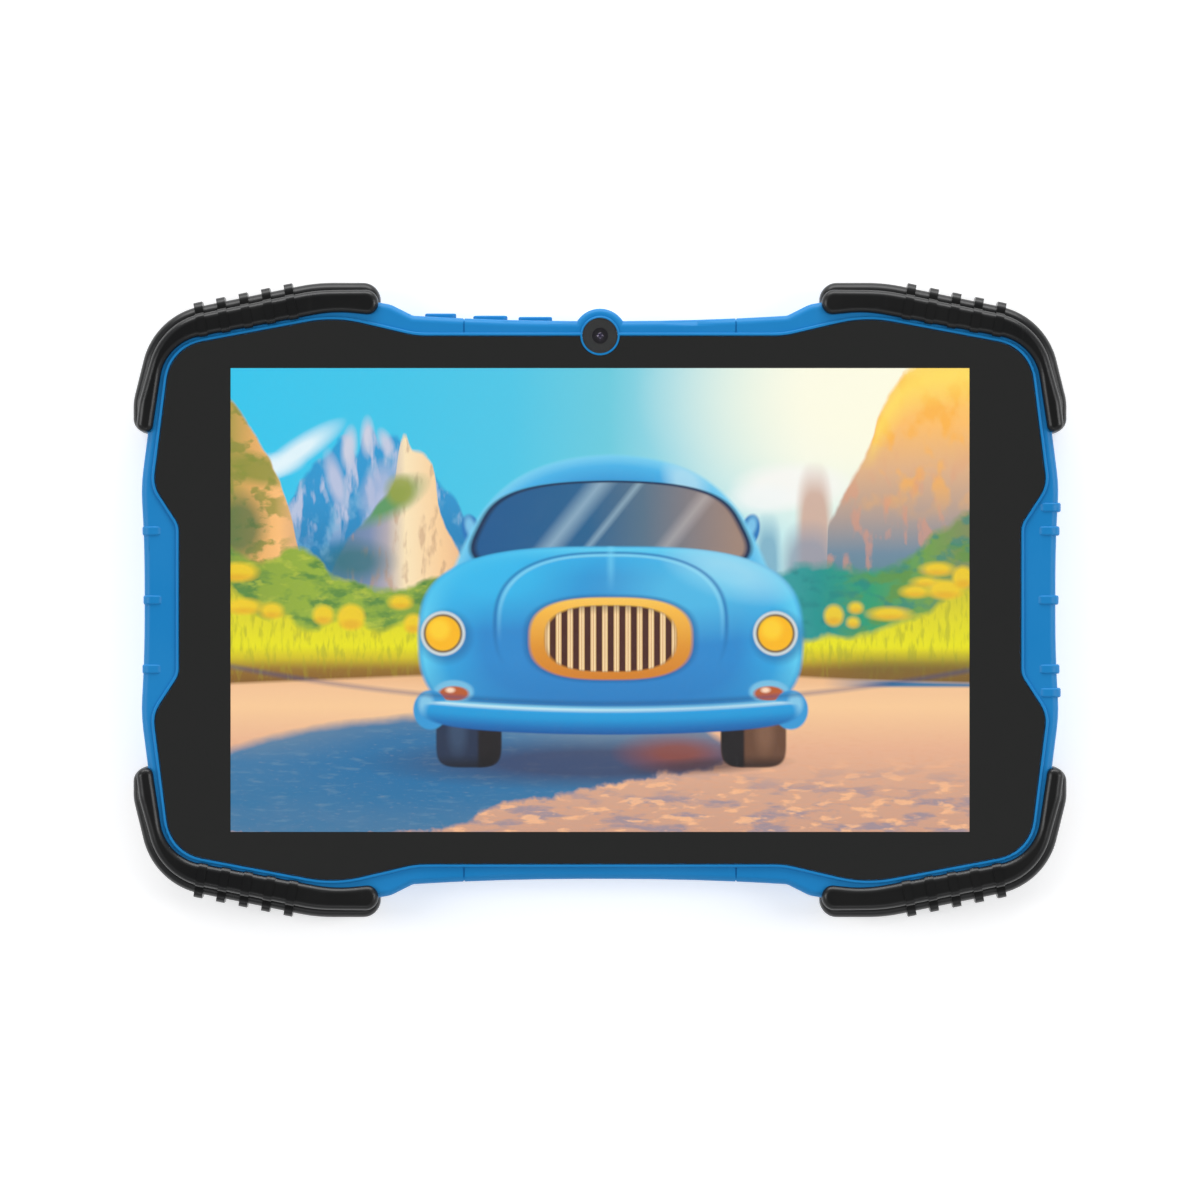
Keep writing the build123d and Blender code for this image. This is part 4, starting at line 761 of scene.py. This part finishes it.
bpy.ops.object.select_all(action="DESELECT")
bpy.ops.mesh.primitive_cylinder_add(vertices=128, radius=window_radius, depth=cover_depth,
                                    location=(window_middle.x, window_middle.y,
                                              window_high.z - cover_depth / 2))
camera_cover = bpy.context.object
camera_cover.name = "front_camera_cover"
bpy.ops.object.transform_apply(location=True, rotation=True, scale=True)
cover_bevel = camera_cover.modifiers.new("cover_bevel", "BEVEL")
cover_bevel.width = 0.06 * mm
cover_bevel.segments = 2
bpy.ops.object.modifier_apply(modifier=cover_bevel.name)
camera_cover.data.materials.append(clear_glass)
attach(camera_cover, "tablet")
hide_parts("camera_window")


def stepped_disc(name, radius, steps):
    """A disc under the cover whose top is inset in (share of the radius, share of the depth) steps."""
    bpy.ops.object.select_all(action="DESELECT")
    bpy.ops.mesh.primitive_cylinder_add(vertices=128, radius=radius, depth=stack_depth,
                                        location=(window_middle.x, window_middle.y,
                                                  stack_top - stack_depth / 2))
    disc = bpy.context.object
    disc.name = name
    bpy.ops.object.transform_apply(location=True, rotation=True, scale=True)
    bpy.ops.object.mode_set(mode="EDIT")
    bpy.ops.mesh.select_mode(type="FACE")
    bpy.ops.mesh.select_all(action="DESELECT")
    bpy.ops.object.mode_set(mode="OBJECT")
    for face in disc.data.polygons:
        face.select = face.normal.z > 0.5
    bpy.ops.object.mode_set(mode="EDIT")
    share_before, sink_before = 1.0, 0.0
    for share, sink in steps:
        bpy.ops.mesh.inset(thickness=radius * (share_before - share),
                           depth=-stack_depth * (sink - sink_before))
        share_before, sink_before = share, sink
    bpy.ops.object.mode_set(mode="OBJECT")
    return disc


mask_hole = (lens_radius + 0.05 * mm) / (window_radius - 0.05 * mm)
# The mask is the border ink, whose faint painted glow lifts it to a very dark grey.
camera_mask = stepped_disc("front_camera_mask", window_radius - 0.05 * mm,
                           ((mask_hole + 0.01, 0.0), (mask_hole, 0.3), (mask_hole - 0.001, 0.96)))
camera_mask.data.materials.append(black_ink_painted_glow)
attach(camera_mask, "tablet")
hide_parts("front_camera_lens")

dome_share, dome_turn = 0.42, math.radians(40)
dome_radius = dome_share / math.sin(dome_turn)
lens_steps = [(0.92, 0.0), (0.88, 0.3), (0.7, 0.3), (0.62, 0.8), (dome_share, 0.8)]
for step in range(1, 10):
    turn = dome_turn * (1 - step / 10)
    dome_rise = dome_radius * (math.cos(turn) - math.cos(dome_turn)) * lens_radius / stack_depth
    lens_steps.append((dome_radius * math.sin(turn), 0.8 - dome_rise))
front_lens = stepped_disc("front_lens_stack", lens_radius, lens_steps)
for face in front_lens.data.polygons:
    from_axis = Vector((face.center.x - window_middle.x, face.center.y - window_middle.y)).length
    face.use_smooth = from_axis < lens_radius * dome_share

coated_lens, lens_tree, lens_shader = material_of("coated_lens")
lens_place = lens_tree.nodes.new("ShaderNodeTexCoord")
lens_flat = lens_tree.nodes.new("ShaderNodeVectorMath")
lens_flat.operation = "MULTIPLY_ADD"
lens_flat.inputs[1].default_value = (1.0, 1.0, 0.0)
lens_flat.inputs[2].default_value = (-window_middle.x, -window_middle.y, 0.0)
lens_tree.links.new(lens_place.outputs["Object"], lens_flat.inputs[0])
from_middle = lens_tree.nodes.new("ShaderNodeVectorMath")
from_middle.operation = "LENGTH"
lens_tree.links.new(lens_flat.outputs["Vector"], from_middle.inputs[0])
lens_share = sums(lens_tree, "DIVIDE", from_middle.outputs["Value"], lens_radius, clamp=True)
lens_ring = lens_tree.nodes.new("ShaderNodeValToRGB")
lens_tree.links.new(lens_share, lens_ring.inputs["Fac"])
# Painted purple glint: the base colour is lighter and purple at the lens's middle and fades to near black
# towards its rim.
painted_glint_stops = ((0.0, (0.05, 0.03, 0.1, 1)), (0.2, (0.02, 0.015, 0.06, 1)), (0.42, (0.002, 0.002, 0.006, 1)),
              (0.62, (0.002, 0.003, 0.004, 1)), (0.9, (0.004, 0.004, 0.005, 1)))
while len(lens_ring.color_ramp.elements) < len(painted_glint_stops):
    lens_ring.color_ramp.elements.new(0.5)
for element, (share, colour) in zip(lens_ring.color_ramp.elements, painted_glint_stops):
    element.position = share
    element.color = colour
lens_dust = noise_at(lens_tree, 2600.0, 2.0)
lens_tree.links.new(blend_colours(lens_tree, sums(lens_tree, "MULTIPLY", lens_dust, 0.1),
                                  lens_ring.outputs["Color"], (0.012, 0.012, 0.014, 1)),
                    lens_shader.inputs["Base Color"])
lens_shader.inputs["Roughness"].default_value = 0.06
lens_shader.inputs["Specular IOR Level"].default_value = 1.0
lens_shader.inputs["Specular Tint"].default_value = (0.85, 0.75, 1.0, 1)
front_lens.data.materials.append(coated_lens)
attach(front_lens, "tablet")

# ---------------------------------------------------------------------------------------------
# Parts inside the shells: metal cans, screws and foil, amber films, boards, leads and cones.
# Drawn grain on metal, fine mould grain on the rest.
# ---------------------------------------------------------------------------------------------


def metal(name, colour, dull_colour, roughness, grain_stretch, grain=1200.0):
    """Bare or plated metal with a drawn grain."""
    material, tree, shader = material_of(name)
    drawn = noise_at(tree, grain, 3.0, stretch=grain_stretch)
    tree.links.new(blend_colours(tree, drawn, (*colour, 1), (*dull_colour, 1)), shader.inputs["Base Color"])
    tree.links.new(sums(tree, "MULTIPLY_ADD", drawn, 0.2, roughness - 0.1), shader.inputs["Roughness"])
    shader.inputs["Metallic"].default_value = 1.0
    bumped(tree, shader, drawn, 0.01 * mm)
    return material


plated_steel = metal("nickel_plated_steel", (0.55, 0.54, 0.52), (0.38, 0.37, 0.36), 0.3, (1, 0.1, 1))
dress(plated_steel, "usb_socket", "shield_can", "mid_plate", "backlight_unit")
dress(metal("black_screw_steel", (0.09, 0.09, 0.095), (0.05, 0.05, 0.052), 0.38, (1, 1, 1)),
      "case_screws", "plate_screws", "board_screws")
dress(metal("turned_brass", (0.62, 0.45, 0.2), (0.45, 0.31, 0.13), 0.32, (1, 1, 0.1)), "board_studs")
dress(metal("tin_switch", (0.5, 0.5, 0.5), (0.35, 0.35, 0.36), 0.35, (1, 1, 1)), "button_switches",
      "microphone")
dress(metal("anodised_trim", (0.07, 0.075, 0.085), (0.045, 0.05, 0.055), 0.28, (1, 1, 0.1)),
      "rear_camera_ring")
dress(metal("pouch_foil", (0.52, 0.53, 0.55), (0.4, 0.41, 0.43), 0.34, (0.4, 1, 1), 320.0),
      "battery_cell_left", "battery_cell_right")

amber_film = moulded("amber_film", (0.5, 0.19, 0.03), (0.42, 0.15, 0.025), 0.3, 0.45, 1800.0, 0.01 * mm)
dress(amber_film, "display_flex", "touch_flex", "button_flex", "antenna")
green_board = moulded("green_solder_mask", (0.01, 0.12, 0.04), (0.02, 0.17, 0.06), 0.35, 0.45, 900.0,
                      0.02 * mm)
dress(green_board, "main_board", "button_board", "protection_board")
lead_sleeve = moulded("lead_sleeve", (0.3, 0.02, 0.015), (0.25, 0.02, 0.015), 0.45, 0.55, 2400.0, 0.01 * mm)
dress(lead_sleeve, "battery_leads", "speaker_leads", "antenna_cable")
cone_paper = moulded("cone_paper", (0.05, 0.048, 0.045), (0.08, 0.077, 0.072), 0.8, 0.9, 2500.0, 0.04 * mm)
dress(cone_paper, "speaker_cones")
mesh_cloth = moulded("dust_mesh", (0.012, 0.012, 0.012), (0.03, 0.03, 0.03), 0.8, 0.9, 3000.0, 0.05 * mm)
dress(mesh_cloth, "speaker_mesh")
